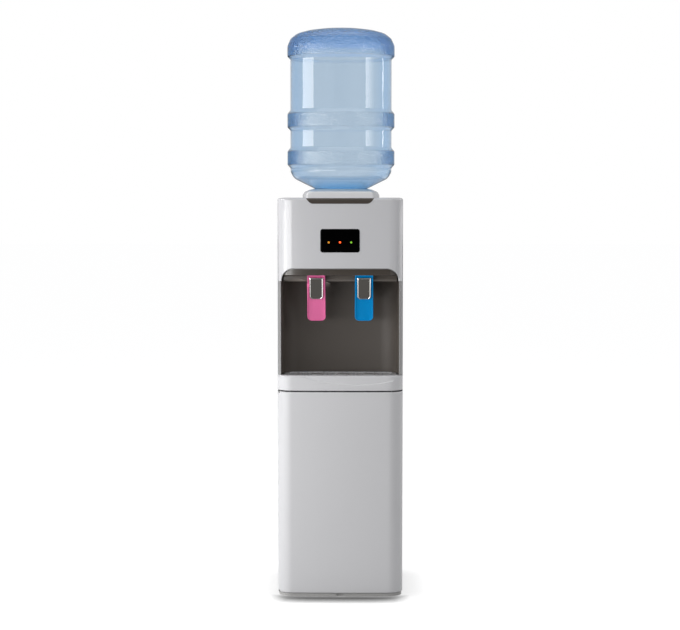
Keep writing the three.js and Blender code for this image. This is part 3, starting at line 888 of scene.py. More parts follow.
def sweep(name: str, stations: Sequence[Station], profile: Profile | Callable[[Station], Profile]) -> Piece:
    """Sweep a closed profile of inset and height along stations of the plan.

    Args:
        name: The object's name.
        stations: Stations from left to right round the front.
        profile: The profile, from the foot of the outer face upwards, or what gives each station its own.

    Returns:
        The new object.
    """
    loops: list[Loop] = []
    for station in stations:
        section = profile(station) if callable(profile) else profile
        loops.append([(*station.at(inset), z) for inset, z in reversed(section)])
    return loft(name, loops)


def round_top(z: float, r: float, steps: int = 6) -> list[Point2]:
    """Return profile points that round an outer top edge."""
    return [(r - r * math.cos(t), z - r + r * math.sin(t)) for t in quarter(steps)]


def round_foot(z: float, r: float, steps: int = 5) -> list[Point2]:
    """Return profile points that round an outer bottom edge, from inside out."""
    return [(r - r * math.sin(t), z + r - r * math.cos(t)) for t in quarter(steps)]


PLAN = CabinetPlan()


# ---------------------------------------------------------------- cabinet


@dataclass
class Cabinet:
    """Plinth, feet, side sheets, rear sheet and top cover."""

    edge: float = 5 * MM
    sheet: float = 1.5 * MM
    groove: float = 0.5 * MM
    border: float = 20 * MM
    plinth_inset: float = 2.5 * MM
    notch_half: float = 8.5 * MM
    notch_depth: float = 5 * MM

    def build(self) -> None:
        """Build and dress every piece."""
        self.base()
        self.sides()
        self.back()
        self.top()

    def base(self) -> None:
        """Mould the plinth with its finger notch and turn the rubber feet."""
        a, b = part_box("base_plinth")
        inset, half, step = self.plinth_inset, self.notch_half, 0.1 * MM
        outline: list[Point2] = []
        for station in PLAN.front_stations(PLAN.split, [half - step, half + step]):
            outline.append(station.at(inset + (self.notch_depth if abs(station.x) < half else 0.0)))
        outline += [s.at(inset) for s in PLAN.rear_stations(PLAN.split + 0.4 * MM)]
        plinth = prism("plinth_moulding", outline, a[2], b[2])
        dress(soften(plinth, 1.0 * MM, 2), Finishes.PLINTH, "cabinet", "base_plinth")
        for corner in ("front_left", "front_right", "rear_left", "rear_right"):
            node = f"foot_{corner}"
            low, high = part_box(node)
            r, h = (high[0] - low[0]) / 2, high[2] - low[2]
            middle = ((low[0] + high[0]) / 2, (low[1] + high[1]) / 2, low[2])
            bore = 0.2 * MM
            profile = [(bore, 0), (r - 2 * MM, 0), (r - 0.5 * MM, 0.8 * MM), (r, 2 * MM), (r, h), (bore, h)]
            dress(turn(f"rubber_{node}", profile, 32, middle), Finishes.RUBBER, "cabinet", node)

    def sides(self) -> None:
        """Fold the two side sheets, with smooth rear corners."""
        for node, side in (("side_panel_left", -1.0), ("side_panel_right", 1.0)):
            low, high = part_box(node)
            stations = PLAN.corner_stations(side, PLAN.split)
            stations.append(Station(side * (PLAN.half - 25 * MM), PLAN.rear, 0.0, -1.0))
            if side < 0:
                stations.reverse()
            profile = [(0, low[2]), (0, high[2]), (self.sheet, high[2]), (self.sheet, low[2])]
            piece = sweep(f"painted_{node}", stations, profile)
            dress(soften(piece, 0.4 * MM, 2), Finishes.SHEET, "cabinet", node)

    def back(self) -> None:
        """Dress the slotted rear sheet and drive its screws."""
        dress_node("back_panel", Finishes.SHEET, 0.3 * MM)
        low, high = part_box("back_panel")
        rows = [low[2] + (high[2] - low[2]) * f for f in (0.02, 0.27, 0.52, 0.77, 0.98)]
        for column, x in (("left", low[0] + 9 * MM), ("right", high[0] - 9 * MM)):
            for number, z in enumerate(rows, 1):
                self.screw(f"back_screw_{column}_{number}", (x, high[1], z))

    def screw(self, name: str, place: Point3) -> None:
        """Turn one domed screw head that faces the rear."""
        head = [(0.1 * MM, -1 * MM), (3.4 * MM, -1 * MM), (3.6 * MM, 0.3 * MM), (2.9 * MM, 1.1 * MM),
                (1.6 * MM, 1.6 * MM), (1.2 * MM, 0.6 * MM), (0.1 * MM, 0.6 * MM)]
        dress(turn(name, head[::-1], 20, place, Axis.FRONT_TO_REAR), Finishes.STEEL, "cabinet")

    def top(self) -> None:
        """Sweep the rounded border round the sides and rear and lay the plate inside it."""
        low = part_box("top_cover")[0]
        z, e = PLAN.top, self.edge
        wall = 3 * MM
        border = [(0, low[2]), *round_top(z, e), (self.border, z), (self.border, z - wall), (wall, z - wall),
                  (wall, low[2])]
        piece = sweep("top_border", PLAN.rear_stations(PLAN.split + 0.4 * MM), border)
        dress(piece, Finishes.WHITE, "cabinet", "top_cover")
        inset = self.border + self.groove
        outline = [s.at(inset) for s in PLAN.front_stations(PLAN.split)]
        outline += [s.at(inset) for s in PLAN.rear_stations(PLAN.split + 0.4 * MM)]
        hole = arc(0, 0, 89 * MM, 0, -357, 119)
        plate = prism("top_plate", outline, z - 3 * MM, z - 0.1 * MM, [hole])
        dress(soften(plate, 0.4 * MM, 2), Finishes.WHITE, "cabinet")


# ---------------------------------------------------------------- fascia


@dataclass
class Fascia:
    """The wrapped upper front with its arch, dark insert, display lens and lamps."""

    arch_half: float = 146 * MM
    arch_radius: float = 32 * MM
    arch_top: float = 818 * MM
    edge: float = 5 * MM
    wall: float = 3 * MM
    flange: float = 20 * MM
    insert_foot: float = 66.5 * MM
    insert_half: float = 83.5 * MM

    def foot(self, x: float) -> float:
        """Return the height of the fascia's lower edge at a place across the cabinet."""
        turn_x = self.arch_half - self.arch_radius
        if abs(x) <= turn_x:
            return self.arch_top
        if abs(x) >= self.arch_half:
            return self.arch_top - self.arch_radius
        return self.arch_top - self.arch_radius + math.sqrt(self.arch_radius**2 - (abs(x) - turn_x) ** 2)

    def build(self) -> None:
        """Build and dress every piece."""
        self.shell()
        self.insert()
        self.display()

    def shell(self) -> None:
        """Sweep the white shell with a rounded top edge and a rounded arch edge."""
        turn_x = self.arch_half - self.arch_radius
        arch = [turn_x + self.arch_radius * math.cos(math.radians(4.5 * i)) for i in range(21)]
        low_end = self.arch_top - self.arch_radius

        def profile(station: Station) -> Profile:
            """Return the section at one station."""
            z = max(self.foot(station.x), low_end)
            top = PLAN.top
            return [
                (1.2 * MM, z), (0.35 * MM, z + 0.35 * MM), (0, z + 1.2 * MM), *round_top(top, self.edge, 7),
                (self.flange, top), (self.flange, top - self.wall), (self.wall, top - self.wall),
                (self.wall, z + 0.3 * MM), (self.wall - 0.3 * MM, z),
            ]

        stations = PLAN.front_stations(PLAN.split, [*arch, self.arch_half + 0.05 * MM])
        dress(sweep("fascia_shell", stations, profile), Finishes.WHITE, "cabinet", "fascia")

    def skin_y(self, x: float, z: float, proud: float) -> float:
        """Return the depth of the fascia's face, with its rounded top edge, set proud by an amount."""
        start = PLAN.top - self.edge
        rise = max(z - start, 0.0)
        inset = self.edge - math.sqrt(max(self.edge**2 - min(rise, self.edge) ** 2, 0.0))
        return PLAN.front_at(x).y + inset - proud

    def insert(self) -> None:
        """Build the dark scooped insert in the top front edge."""
        low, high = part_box("handle_insert")
        top, foot = high[2] + 0.15 * MM, low[2]
        rows, columns = 13, 41
        points: list[Point3] = []
        for r in range(rows):
            share = (r / (rows - 1)) ** 1.6
            z = foot + (top - foot) * share
            half = self.insert_foot + (self.insert_half - self.insert_foot) * math.sqrt(share)
            for c in range(columns):
                across = 2 * c / (columns - 1) - 1
                dish = 0.5 * MM * math.sin(math.pi * min(share * 1.15, 1.0)) * (1 - across**8)
                points.append((half * across, self.skin_y(half * across, z, 0.8 * MM - dish), z))
        faces: list[list[int]] = []
        for r in range(rows - 1):
            for c in range(columns - 1):
                a = r * columns + c
                faces.append([a, a + 1, a + columns + 1, a + columns])
        piece = make_piece("dark_insert", points, faces, closed=False)
        thick = piece.modifiers.new("Wall", "SOLIDIFY")
        thick.thickness = 2.2 * MM
        thick.offset = -1.0
        dress(soften(piece, 0.3 * MM, 2), Finishes.GLOSS_TAUPE, "cabinet", "handle_insert")

    def display(self) -> None:
        """Build the black lens, proud of the face by a hair, and its three lamps."""
        low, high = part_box("display_lens")
        front = low[1] - 0.5 * MM
        r = 6.5 * MM
        loops: list[Loop] = []
        rows = ((0.6, high[1]), (0.0, front + 1.0 * MM), (0.15, front + 0.45 * MM), (0.5, front + 0.12 * MM),
                (1.1, front))
        for inset, y in rows:
            d = inset * MM
            ring = rounded_rect(low[0] + d, high[0] - d, low[2] + d, high[2] - d, r - d, 8)
            loops.append([(x, y, z) for x, z in ring])
        dress(loft("display_window", loops), Finishes.BLACK_GLOSS, "cabinet", "display_lens")
        lamps = {"led_amber": Finishes.AMBER, "led_red": Finishes.RED, "led_green": Finishes.GREEN}
        for node, finish in lamps.items():
            a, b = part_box(node)
            middle = ((a[0] + b[0]) / 2, front, (a[2] + b[2]) / 2)
            dome = [(0.1, 2.0), (2.5, 2.0), (2.5, -0.05), (2.3, -0.25), (1.7, -0.5), (0.9, -0.65),
                    (0.1, -0.7)]
            profile = [(p * MM, h * MM) for p, h in dome]
            lamp = turn(f"{node}_dome", profile[::-1], 24, middle, Axis.FRONT_TO_REAR)
            dress(lamp, finish, "cabinet", node)
        dress_node("control_board", Finishes.BOARD)


# ---------------------------------------------------------------- cup niche


@dataclass
class CupNiche:
    """Pale edge strips, curved lining and stepped visor of the cup niche."""

    half: float = 145.4 * MM
    bend: float = 50 * MM
    wall: float = 2.5 * MM
    strip_inset: float = 4.5 * MM

    def lining(self, grow: float) -> list[Point2]:
        """Return the lining in plan from left to right, grown outwards by an amount."""
        low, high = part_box("niche_wall")
        back = high[1] - self.wall
        left = [(-self.half - grow, low[1] - 2 * MM), (-self.half + 2 * MM - grow, -112 * MM)]
        left += arc(-142.4 * MM + self.bend, -48 * MM - self.bend, self.bend + grow, 178, 97, 24)
        right = [(-x, y) for x, y in reversed(left)]
        middle = [(x * MM, back + grow - 5.4 * MM * (x / 98.7) ** 2) for x in (-70, -35, 0, 35, 70)]
        return left + middle + right

    def build(self) -> None:
        """Build and dress every piece."""
        self.edges()
        self.arch()
        self.walls()
        self.visor()

    def edges(self) -> None:
        """Sweep the two pale strips beside the niche."""
        for node in ("niche_bezel_left", "niche_bezel_right"):
            low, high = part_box(node)
            side = -1.0 if low[0] < 0 else 1.0
            xs = [side * (147 + 0.8 * i) * MM for i in range(10)]
            stations = [PLAN.front_at(x) for x in xs]
            stations.append(PLAN.front_stations(PLAN.split)[0 if side < 0 else -1])
            stations.sort(key=lambda s: s.x)
            if side < 0:
                stations.sort(key=lambda s: -s.y)
            else:
                stations.sort(key=lambda s: s.y)
            profile = [(0, low[2]), (0, high[2]), (2 * MM, high[2]), (2 * MM, low[2])]
            piece = sweep(f"pale_{node}", stations, profile)
            dress(soften(piece, 0.5 * MM, 3), Finishes.GREY, "cabinet", node)

    def arch(self) -> None:
        """Run a thin pale rim under the fascia's arch, joining the two strips."""
        fascia = Fascia()
        r, top = fascia.arch_radius, fascia.arch_top
        turn_x = fascia.arch_half - r
        right = [(turn_x + r * math.cos(a), top - r + r * math.sin(a), math.cos(a), math.sin(a))
                 for a in (math.radians(4.5 * k) for k in range(21))]
        across = [(turn_x * k / 12, top, 0.0, 1.0) for k in range(11, -12, -1)]
        path = right + across + [(-x, z, -nx, nz) for x, z, nx, nz in reversed(right)]
        loops: list[Loop] = []
        for x, z, nx, nz in path:
            section = ((0.0, 1.0), (1.3, 1.0), (1.8, 1.5), (1.8, 3.6), (0.0, 3.6))
            y = PLAN.front_at(x).y
            loops.append([(x - nx * w * MM, y + d * MM, z - nz * w * MM) for w, d in section])
        dress(loft("pale_arch_rim", loops), Finishes.GREY, "cabinet")

    def walls(self) -> None:
        """Bend the dark lining round the niche."""
        low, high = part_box("niche_wall")
        inner, outer = self.lining(0.0), self.lining(self.wall)
        outline = inner + outer[::-1]
        dress(prism("niche_lining", outline[::-1], low[2], high[2]), Finishes.TAUPE, "cabinet", "niche_wall")

    def visor(self) -> None:
        """Build the strip under the fascia and the rounded step behind the levers."""
        low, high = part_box("visor")
        strip_z, top = 800.6 * MM, high[2] + 0.2 * MM
        stations = [s for s in PLAN.front_stations(PLAN.split) if abs(s.x) < 145.5 * MM]
        d = self.strip_inset
        strip = [(d + 1 * MM, strip_z), (d + 0.3 * MM, strip_z + 0.3 * MM), (d, strip_z + 1 * MM), (d, top),
                 (d + 3 * MM, top), (d + 3 * MM, strip_z)]
        dress(sweep("visor_strip", stations, strip), Finishes.GLOSS_TAUPE, "cabinet", "visor")
        step_y, r = -126 * MM, 6 * MM
        line = [Station(x * MM, step_y + 4 * MM * (x / 141) ** 2, 0.0, 1.0) for x in range(-140, 141, 10)]
        foot = low[2] - 1.5 * MM
        shelf = foot + 16 * MM
        web, reach = 3 * MM, 76 * MM
        step = [
            *round_foot(foot, r, 8), (0, shelf - 2 * MM), (0.6 * MM, shelf - 0.6 * MM), (2 * MM, shelf),
            (4 * MM, shelf), (4 * MM, foot + r), (r + 2 * MM, foot + web), (reach, foot + web), (reach, foot),
        ]
        # The step takes the taupe that is painted lighter, which stands in for the light on its rounded
        # ledge.
        dress(sweep("visor_step", line, step), Finishes.PAINTED_LIGHT_TAUPE, "cabinet")
        roof = [s.at(d + 3.2 * MM) for s in stations]
        roof += [(140 * MM, -96 * MM), (100 * MM, -48 * MM), (-100 * MM, -48 * MM), (-140 * MM, -96 * MM)]
        dress(prism("visor_roof", roof, 814 * MM, top), Finishes.TAUPE, "cabinet")


# ---------------------------------------------------------------- taps


class Water(Enum):
    """Which water a tap gives."""

    HOT = "hot"
    COLD = "cold"


@dataclass
class Tap:
    """One push tap: a tilted paddle with a raised rim and a chrome plate, and its mechanism."""

    water: Water
    tilt: float = math.radians(18)
    width: float = 44.5 * MM
    face: float = 15 * MM
    thick: float = 7 * MM
    top: float = 1.5 * MM
    foot: float = -122 * MM
    flare: float = 0.03

    def __post_init__(self) -> None:
        """Read the pivot from the frame's joint."""
        self.body = f"{self.water.value}_lever"
        joints = frame["record"]["behaviour"]["joints"]
        joint = next(j for j in joints if j["child"] == self.body)
        self.pivot = Vector(joint["pos_m"])
        self.colour = Finishes.PINK if self.water is Water.HOT else Finishes.BLUE

    def place(self, x: float, y: float, z: float) -> Point3:
        """Turn a point of the upright lever to its rest tilt about the pivot."""
        c, s = math.cos(self.tilt), math.sin(self.tilt)
        return self.pivot.x + x, self.pivot.y + y * c - z * s, self.pivot.z + y * s + z * c

    def ring(self, inset: float, y: float, foot: float, top: float, half: float, low_r: float,
             high_r: float) -> Loop:
        """Return one closed ring of the lever, round its face.

        Args:
            inset: How far the ring lies inside the outline.
            y: Depth of the ring.
            foot: Lower end of the outline.
            top: Upper end of the outline.
            half: Half width of the outline.
            low_r: Radius of the lower corners.
            high_r: Radius of the upper corners.

        Returns:
            The ring, placed.
        """
        h, z0, z1 = half - inset, foot + inset, top - inset
        a, b = max(low_r - inset, 0.3 * MM), max(high_r - inset, 0.3 * MM)
        flat = [*arc(h - a, z0 + a, a, -90, 0, 7), *arc(h - b, z1 - b, b, 0, 90, 7),
                *arc(-h + b, z1 - b, b, 90, 180, 7), *arc(-h + a, z0 + a, a, 180, 270, 7)]
        return [self.place(x * (1 + self.flare * (z1 - z) / (z1 - z0)), y, z) for x, z in flat]

    def build(self) -> None:
        """Build and dress every piece of the tap."""
        name = self.water.value
        self.lever(name)
        self.plate(name)
        dress_node(f"tap_body_{name}", Finishes.TAUPE, 0.8 * MM)
        for node in (f"tap_stem_{name}", f"lever_pin_{name}"):
            dress_node(node, Finishes.STEEL, 0.3 * MM)

    def lever(self, name: str) -> None:
        """Build the paddle with its rolled rim and shallow dish, and the barrel behind it."""
        front, back = -self.face, -self.face + self.thick
        half = self.width / 2
        rows = [(1.0, back), (0.2, back - 0.5 * MM), (0.0, back - 1.4 * MM), (0.0, front + 1.6 * MM),
                (0.25, front + 0.7 * MM), (0.9, front + 0.12 * MM), (1.5, front), (2.1, front + 0.12 * MM),
                (2.7, front + 0.7 * MM), (3.3, front + 1.5 * MM), (5.5, front + 2.1 * MM),
                (9.5, front + 2.6 * MM), (14.0, front + 2.9 * MM)]
        loops = [self.ring(d * MM, y, self.foot, self.top, half, 11 * MM, 4 * MM) for d, y in rows]
        blade = loft(f"{name}_paddle", loops)
        dress(blade, self.colour, self.body, f"lever_{name}")
        profile = [(2.5, -19), (5.4, -19), (6, -18.4), (6, 18.4), (5.4, 19), (2.5, 19)]
        barrel = turn(f"{name}_lever_barrel", [(r * MM, h * MM) for r, h in profile], 28, tuple(self.pivot),
                      Axis.ACROSS)
        dress(barrel, self.colour, self.body)
        for number, x in enumerate((-13 * MM, 13 * MM), 1):
            corners = [(-9, -6), (-9, 0.5), (-3, 2.5), (-3, -6)]
            loops = [[self.place(x + dx, y * MM, z * MM) for y, z in corners] for dx in (2 * MM, -2 * MM)]
            dress(loft(f"{name}_lever_web_{number}", loops), self.colour, self.body)

    def plate(self, name: str) -> None:
        """Build the chrome plate: a rolled frame round a sunk face, its lower corners cut off."""
        front = -self.face - 3.2 * MM
        half, top, foot, cut = 17 * MM, -7 * MM, -64 * MM, 5.5 * MM
        frame_rows = [(0.5, -self.face + 1.2 * MM), (0.0, -self.face + 0.4 * MM), (0.0, front + 1.9 * MM),
                      (0.25, front + 1.5 * MM), (1.7, front + 0.25 * MM), (2.1, front),
                      (2.6, front + 0.3 * MM), (2.7, front + 1.6 * MM)]
        face_rows = [(2.5, front + 1.6 * MM), (2.5, front + 0.35 * MM), (3.1, front + 0.25 * MM),
                     (6.0, front + 0.42 * MM)]
        # The sunk face takes the chrome darkened as painted shade; the rolled frame takes the bright chrome.
        for piece, rows, finish, nodes in ((f"{name}_lever_plate_frame", frame_rows, Finishes.POLISHED, ()),
                                           (f"{name}_lever_plate", face_rows, Finishes.PAINTED_SHADE_CHROME,
                                            (f"lever_plate_{name}",))):
            loops: list[Loop] = []
            for d, y in rows:
                i = d * MM
                h, z0, z1, c = half - i, foot + i, top - i, cut - i * 0.4
                right = [(h - c, z0, 1 * MM), (h, z0 + c, 1 * MM), (h, z1, 2.2 * MM)]
                left = [(-x, z, r) for x, z, r in reversed(right)]
                corners = filleted([(0, z0, 0), *right, *left, (0, z0, 0)], 4)[:-1]
                loops.append([self.place(x, y, z) for x, z in corners])
            dress(loft(piece, loops), finish, self.body, *nodes)


# ---------------------------------------------------------------- drip tray


@dataclass
class DripTray:
    """White tray housing, lift-out cup and slotted grille."""

    edge: float = 4 * MM
    rim: float = 15 * MM

    def build(self) -> None:
        """Build and dress every piece."""
        self.housing()
        self.cup()
        self.grille()

    @staticmethod
    def crease(x: float) -> float:
        """Return the height of the curved crease across the front, which sags to the right of the middle."""
        span = (x + 100 * MM) / (255 * MM)
        if span < 0:
            return 553 * MM
        dip = 4 * span * (1 - span)
        lean = 1 + 0.35 * (span - 0.5)
        return 551.5 * MM - 20 * MM * dip * lean - 6 * MM * max(span - 0.5, 0)

    def housing(self) -> None:
        """Sweep the front wall with its crease and lay the deck round the basin."""
        low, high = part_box("tray_housing")
        foot, top, e = low[2] - 1.5 * MM, high[2], self.edge

        def profile(station: Station) -> Profile:
            """Return the section at one station."""
            line = min(max(self.crease(station.x), foot + 5 * MM), top - e - 0.6 * MM)
            span = (station.x + 100 * MM) / (255 * MM)
            depth = 2.0 * MM * min(max(span * 14, 0.0), 1.0) * min(max((1 - span) * 8, 0.0), 1.0)
            upper = [(depth + i - i * math.cos(t), z) for i, t, z in
                     ((e, math.pi / 12 * k, top - e + e * math.sin(math.pi / 12 * k)) for k in range(7))]
            return [*round_foot(foot, 2 * MM, 4), (0, line - 1.3 * MM), (depth, line + 0.9 * MM), *upper,
                    (self.rim, top), (self.rim, top - 8 * MM), (3 * MM, top - 8 * MM), (3 * MM, foot)]

        stations = PLAN.front_stations(PLAN.split, [i * 6 * MM for i in range(1, 25)])
        dress(sweep("tray_front", stations, profile), Finishes.SATIN, "cabinet", "tray_housing")
        outline = [s.at(self.rim - 0.1 * MM) for s in PLAN.front_stations(PLAN.split - 0.5 * MM)]
        outline += [(138 * MM, high[1]), (-138 * MM, high[1])]
        hole = rounded_rect(-128 * MM, 128 * MM, -141 * MM, -56 * MM, 12 * MM)[::-1]
        deck = prism("tray_deck", outline, foot + 2 * MM, top - 0.5 * MM, [hole])
        dress(soften(deck, 0.8 * MM), Finishes.SATIN, "cabinet")
        floor = prism("tray_basin_floor", rounded_rect(-128 * MM, 128 * MM, -141 * MM, -56 * MM, 12 * MM),
                      foot + 2 * MM, foot + 5 * MM)
        dress(floor, Finishes.WHITE, "cabinet")

    def cup(self) -> None:
        """Mould the thin cup that lifts out."""
        low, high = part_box("drip_cup")
        rows = [(2.5, low[2]), (0.6, low[2] + 0.6 * MM), (0, low[2] + 2.5 * MM), (0, high[2] - 0.6 * MM),
                (0.5, high[2]), (2.0, high[2]), (2.5, high[2] - 0.6 * MM), (2.5, low[2] + 5 * MM),
                (3.2, low[2] + 3.4 * MM), (6, low[2] + 2.6 * MM)]
        loops: list[Loop] = []
        for d, z in rows:
            i = d * MM
            ring = rounded_rect(low[0] + i, high[0] - i, low[1] + i, high[1] - i, 10 * MM - i, 6)
            loops.append([(x, y, z) for x, y in ring])
        dress(loft("drip_cup_moulding", loops), Finishes.SATIN, "drip_cup", "drip_cup")

    def grille(self) -> None:
        """Cut the slotted grille and raise the domes that a cup stands on."""
        low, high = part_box("drip_grille")
        holes: list[list[Point2]] = []
        rows = ((low[1] + 9 * MM, low[1] + 37 * MM), (low[1] + 45 * MM, high[1] - 9 * MM))
        rests = (-58 * MM, 6 * MM, 70 * MM)
        pitch, slit = 10.5 * MM, 1.3 * MM
        for i in range(-10, 11):
            if min(abs(i * pitch - x) for x in rests) < 19 * MM:
                continue
            for a, b in rows:
                slot = rounded_rect(i * pitch - slit, i * pitch + slit, a, b, 1.2 * MM, 4)
                holes.append(slot[::-1])
        outline = rounded_rect(low[0], high[0], low[1], high[1], 11 * MM)
        deck = prism("grille_deck", outline, low[2], high[2], holes)
        dress(soften(deck, 0.5 * MM, 2), Finishes.SATIN, "drip_grille", "drip_grille")
        middle = (low[1] + high[1]) / 2
        for number, x in enumerate(rests, 1):
            reach = (17 * MM, high[1] - middle - 9 * MM)
            self.rest(f"grille_cup_rest_{number}", (x, middle, high[2]), reach, 2.6 * MM)

    @staticmethod
    def rest(name: str, place: Point3, reach: Point2, rise: float) -> None:
        """Raise one low oval dome that a cup stands on.

        Args:
            name: The dome's name.
            place: Middle of its foot.
            reach: Half its size across and from front to rear.
            rise: Its height.
        """
        loops: list[Loop] = []
        for share, lift in ((1.0, -0.15), (0.98, 0.1), (0.9, 0.42), (0.75, 0.72), (0.5, 0.92), (0.15, 1.0)):
            a, b = reach[0] * share, reach[1] * share
            turns = [math.pi * k / 18 for k in range(36)]
            loops.append([(place[0] + a * math.cos(t), place[1] + b * math.sin(t), place[2] + rise * lift)
                          for t in turns])
        dress(loft(name, loops), Finishes.WHITE, "drip_grille")


# ---------------------------------------------------------------- storage bay and door


@dataclass
class StorageBay:
    """Floor, walls, shelf and catch of the bay behind the door."""

    def build(self) -> None:
        """Dress the bay's sheets, shelf, catch and hinge pins."""
        for side in ("floor", "ceiling", "back", "wall_left", "wall_right"):
            dress_node(f"storage_{side}", Finishes.WHITE, 0.4 * MM)
        dress_node("storage_shelf", Finishes.GREY, 0.8 * MM)
        dress_node("magnet_catch", Finishes.BLACK, 0.8 * MM)
        dress_node("hinge_pin_bottom", Finishes.STEEL, 0.5 * MM)
        dress_node("hinge_pin_top", Finishes.BLACK, 0.5 * MM)


@dataclass
class StorageDoor:
    """The lower front: a wrapped outer skin, its end flanges and a panelled inner face."""

    edge: float = 3 * MM
    wall: float = 2.5 * MM

    def build(self) -> None:
        """Build and dress every piece."""
        self.skin()
        self.inner()
        dress_node("striker_plate", Finishes.STEEL, 0.3 * MM)

    def skin(self) -> None:
        """Sweep the outer skin with rounded ends and its two flanges."""
        low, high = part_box("door_outer")
        foot, top, w = low[2], high[2] + 1.5 * MM, self.wall
        stations = PLAN.front_stations(high[1])
        profile = [*round_foot(foot, self.edge), *round_top(top, self.edge, 5), (w, top - self.edge),
                   (w, foot + self.edge)]
        dress(sweep("door_skin", stations, profile), Finishes.SATIN, "door", "door_outer")
        for name, z in (("door_flange_foot", foot + 0.6 * MM), ("door_flange_top", top - 4 * MM)):
            outline = PLAN.front_outline(1.5 * MM, -139 * MM)
            ear = [(x * MM, y * MM) for x, y in
                   ((-153, -139), (-153, -127), (-151, -126), (-137, -126), (-136, -127), (-136, -139))]
            plate = prism(name, outline, z, z + 3.4 * MM)
            dress(soften(plate, 0.4 * MM, 2), Finishes.WHITE, "door")
            bore = arc(-143 * MM, -133 * MM, 3.5 * MM, 0, -345, 23)
            lug = prism(f"{name}_lug", ear, z, z + 3.4 * MM, [bore])
            dress(lug, Finishes.GREY, "door")

    def inner(self) -> None:
        """Press the inner panel: a raised field inside a flat border."""
        low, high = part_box("door_inner")
        rows = [(0, low[1]), (0, high[1] - 0.5 * MM), (0.5, high[1]), (16, high[1]), (20, high[1] - 2.0 * MM),
                (24, high[1] - 2.0 * MM)]
        loops: list[Loop] = []
        for d, y in rows:
            i = d * MM
            bend = max(30 * MM - i, 6 * MM)
            ring = rounded_rect(low[0] + i, high[0] - i, low[2] + i, high[2] - i, bend, 6)
            loops.append([(x, y, z) for x, z in ring][::-1])
        dress(loft("door_inner_panel", loops), Finishes.WHITE, "door", "door_inner")


# ---------------------------------------------------------------- inside and rear


class WaterSystem:
    """Tanks, hoses and the cooling block inside the cabinet."""

    def build(self) -> None:
        """Dress the inner pieces."""
        for node in ("cold_tank", "hot_tank"):
            dress_node(node, Finishes.STEEL)
        for node in ("tube_cold", "tube_hot"):
            dress_node(node, Finishes.SILICONE)
        dress_node("feed_spike", Finishes.WHITE)
        dress_node("heat_sink", Finishes.ALUMINIUM)
        dress_node("fan_frame", Finishes.BLACK, 0.6 * MM)
        dress_node("fan_rotor", Finishes.BLACK, 0.3 * MM)


class RearFittings:
    """Switches, power inlet and drain cap on the rear sheet."""

    def build(self) -> None:
        """Dress the fittings and frame the switches and the inlet."""
        dress_node("rocker_hot", Finishes.PINK, 0.5 * MM)
        dress_node("rocker_cold", Finishes.BLUE, 0.5 * MM)
        dress_node("power_inlet", Finishes.BLACK, 0.4 * MM)
        dress_node("drain_cap", Finishes.TAUPE, 0.6 * MM)
        hot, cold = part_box("rocker_hot"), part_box("rocker_cold")
        rim, gap = 5 * MM, 1 * MM
        self.surround(
            "switch_surround", hot[0][0] - rim, cold[1][0] + rim, hot[0][2] - rim, hot[1][2] + rim,
            [(low[0] - gap, high[0] + gap) for low, high in (hot, cold)],
            (hot[0][2] - 1.5 * gap, hot[1][2] + 1.5 * gap),
        )
        low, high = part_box("power_inlet")
        lap = 0.6 * MM
        self.surround(
            "inlet_surround", low[0] - 9 * MM, high[0] + 9 * MM, low[2] - rim, high[2] + rim,
            [(low[0] + lap, high[0] - lap)], (low[2] + lap, high[2] - lap),
        )

    @staticmethod
    def surround(name: str, x0: float, x1: float, z0: float, z1: float, holes: Sequence[Point2],
                 heights: Point2) -> None:
        """Frame openings in the rear sheet with a thin black plate.

        Args:
            name: The plate's name.
            x0: Left side.
            x1: Right side.
            z0: Lower side.
            z1: Upper side.
            holes: Sides of each hole.
            heights: Lower and upper edge of the holes.
        """
        outline = rounded_rect(x0, x1, z0, z1, 3 * MM, 5)
        cuts = [rounded_rect(a, b, heights[0], heights[1], 1 * MM, 3)[::-1] for a, b in holes]
        plate = prism(name, outline, 0.0, 1.6 * MM, cuts)
        for vertex in plate.data.vertices:
            x, z, depth = vertex.co
            vertex.co = (x, PLAN.rear - 0.1 * MM + (1.6 * MM - depth), z)
        plate.data.update()
        dress(soften(plate, 0.5 * MM, 2), Finishes.BLACK, "cabinet")


# ---------------------------------------------------------------- bottle


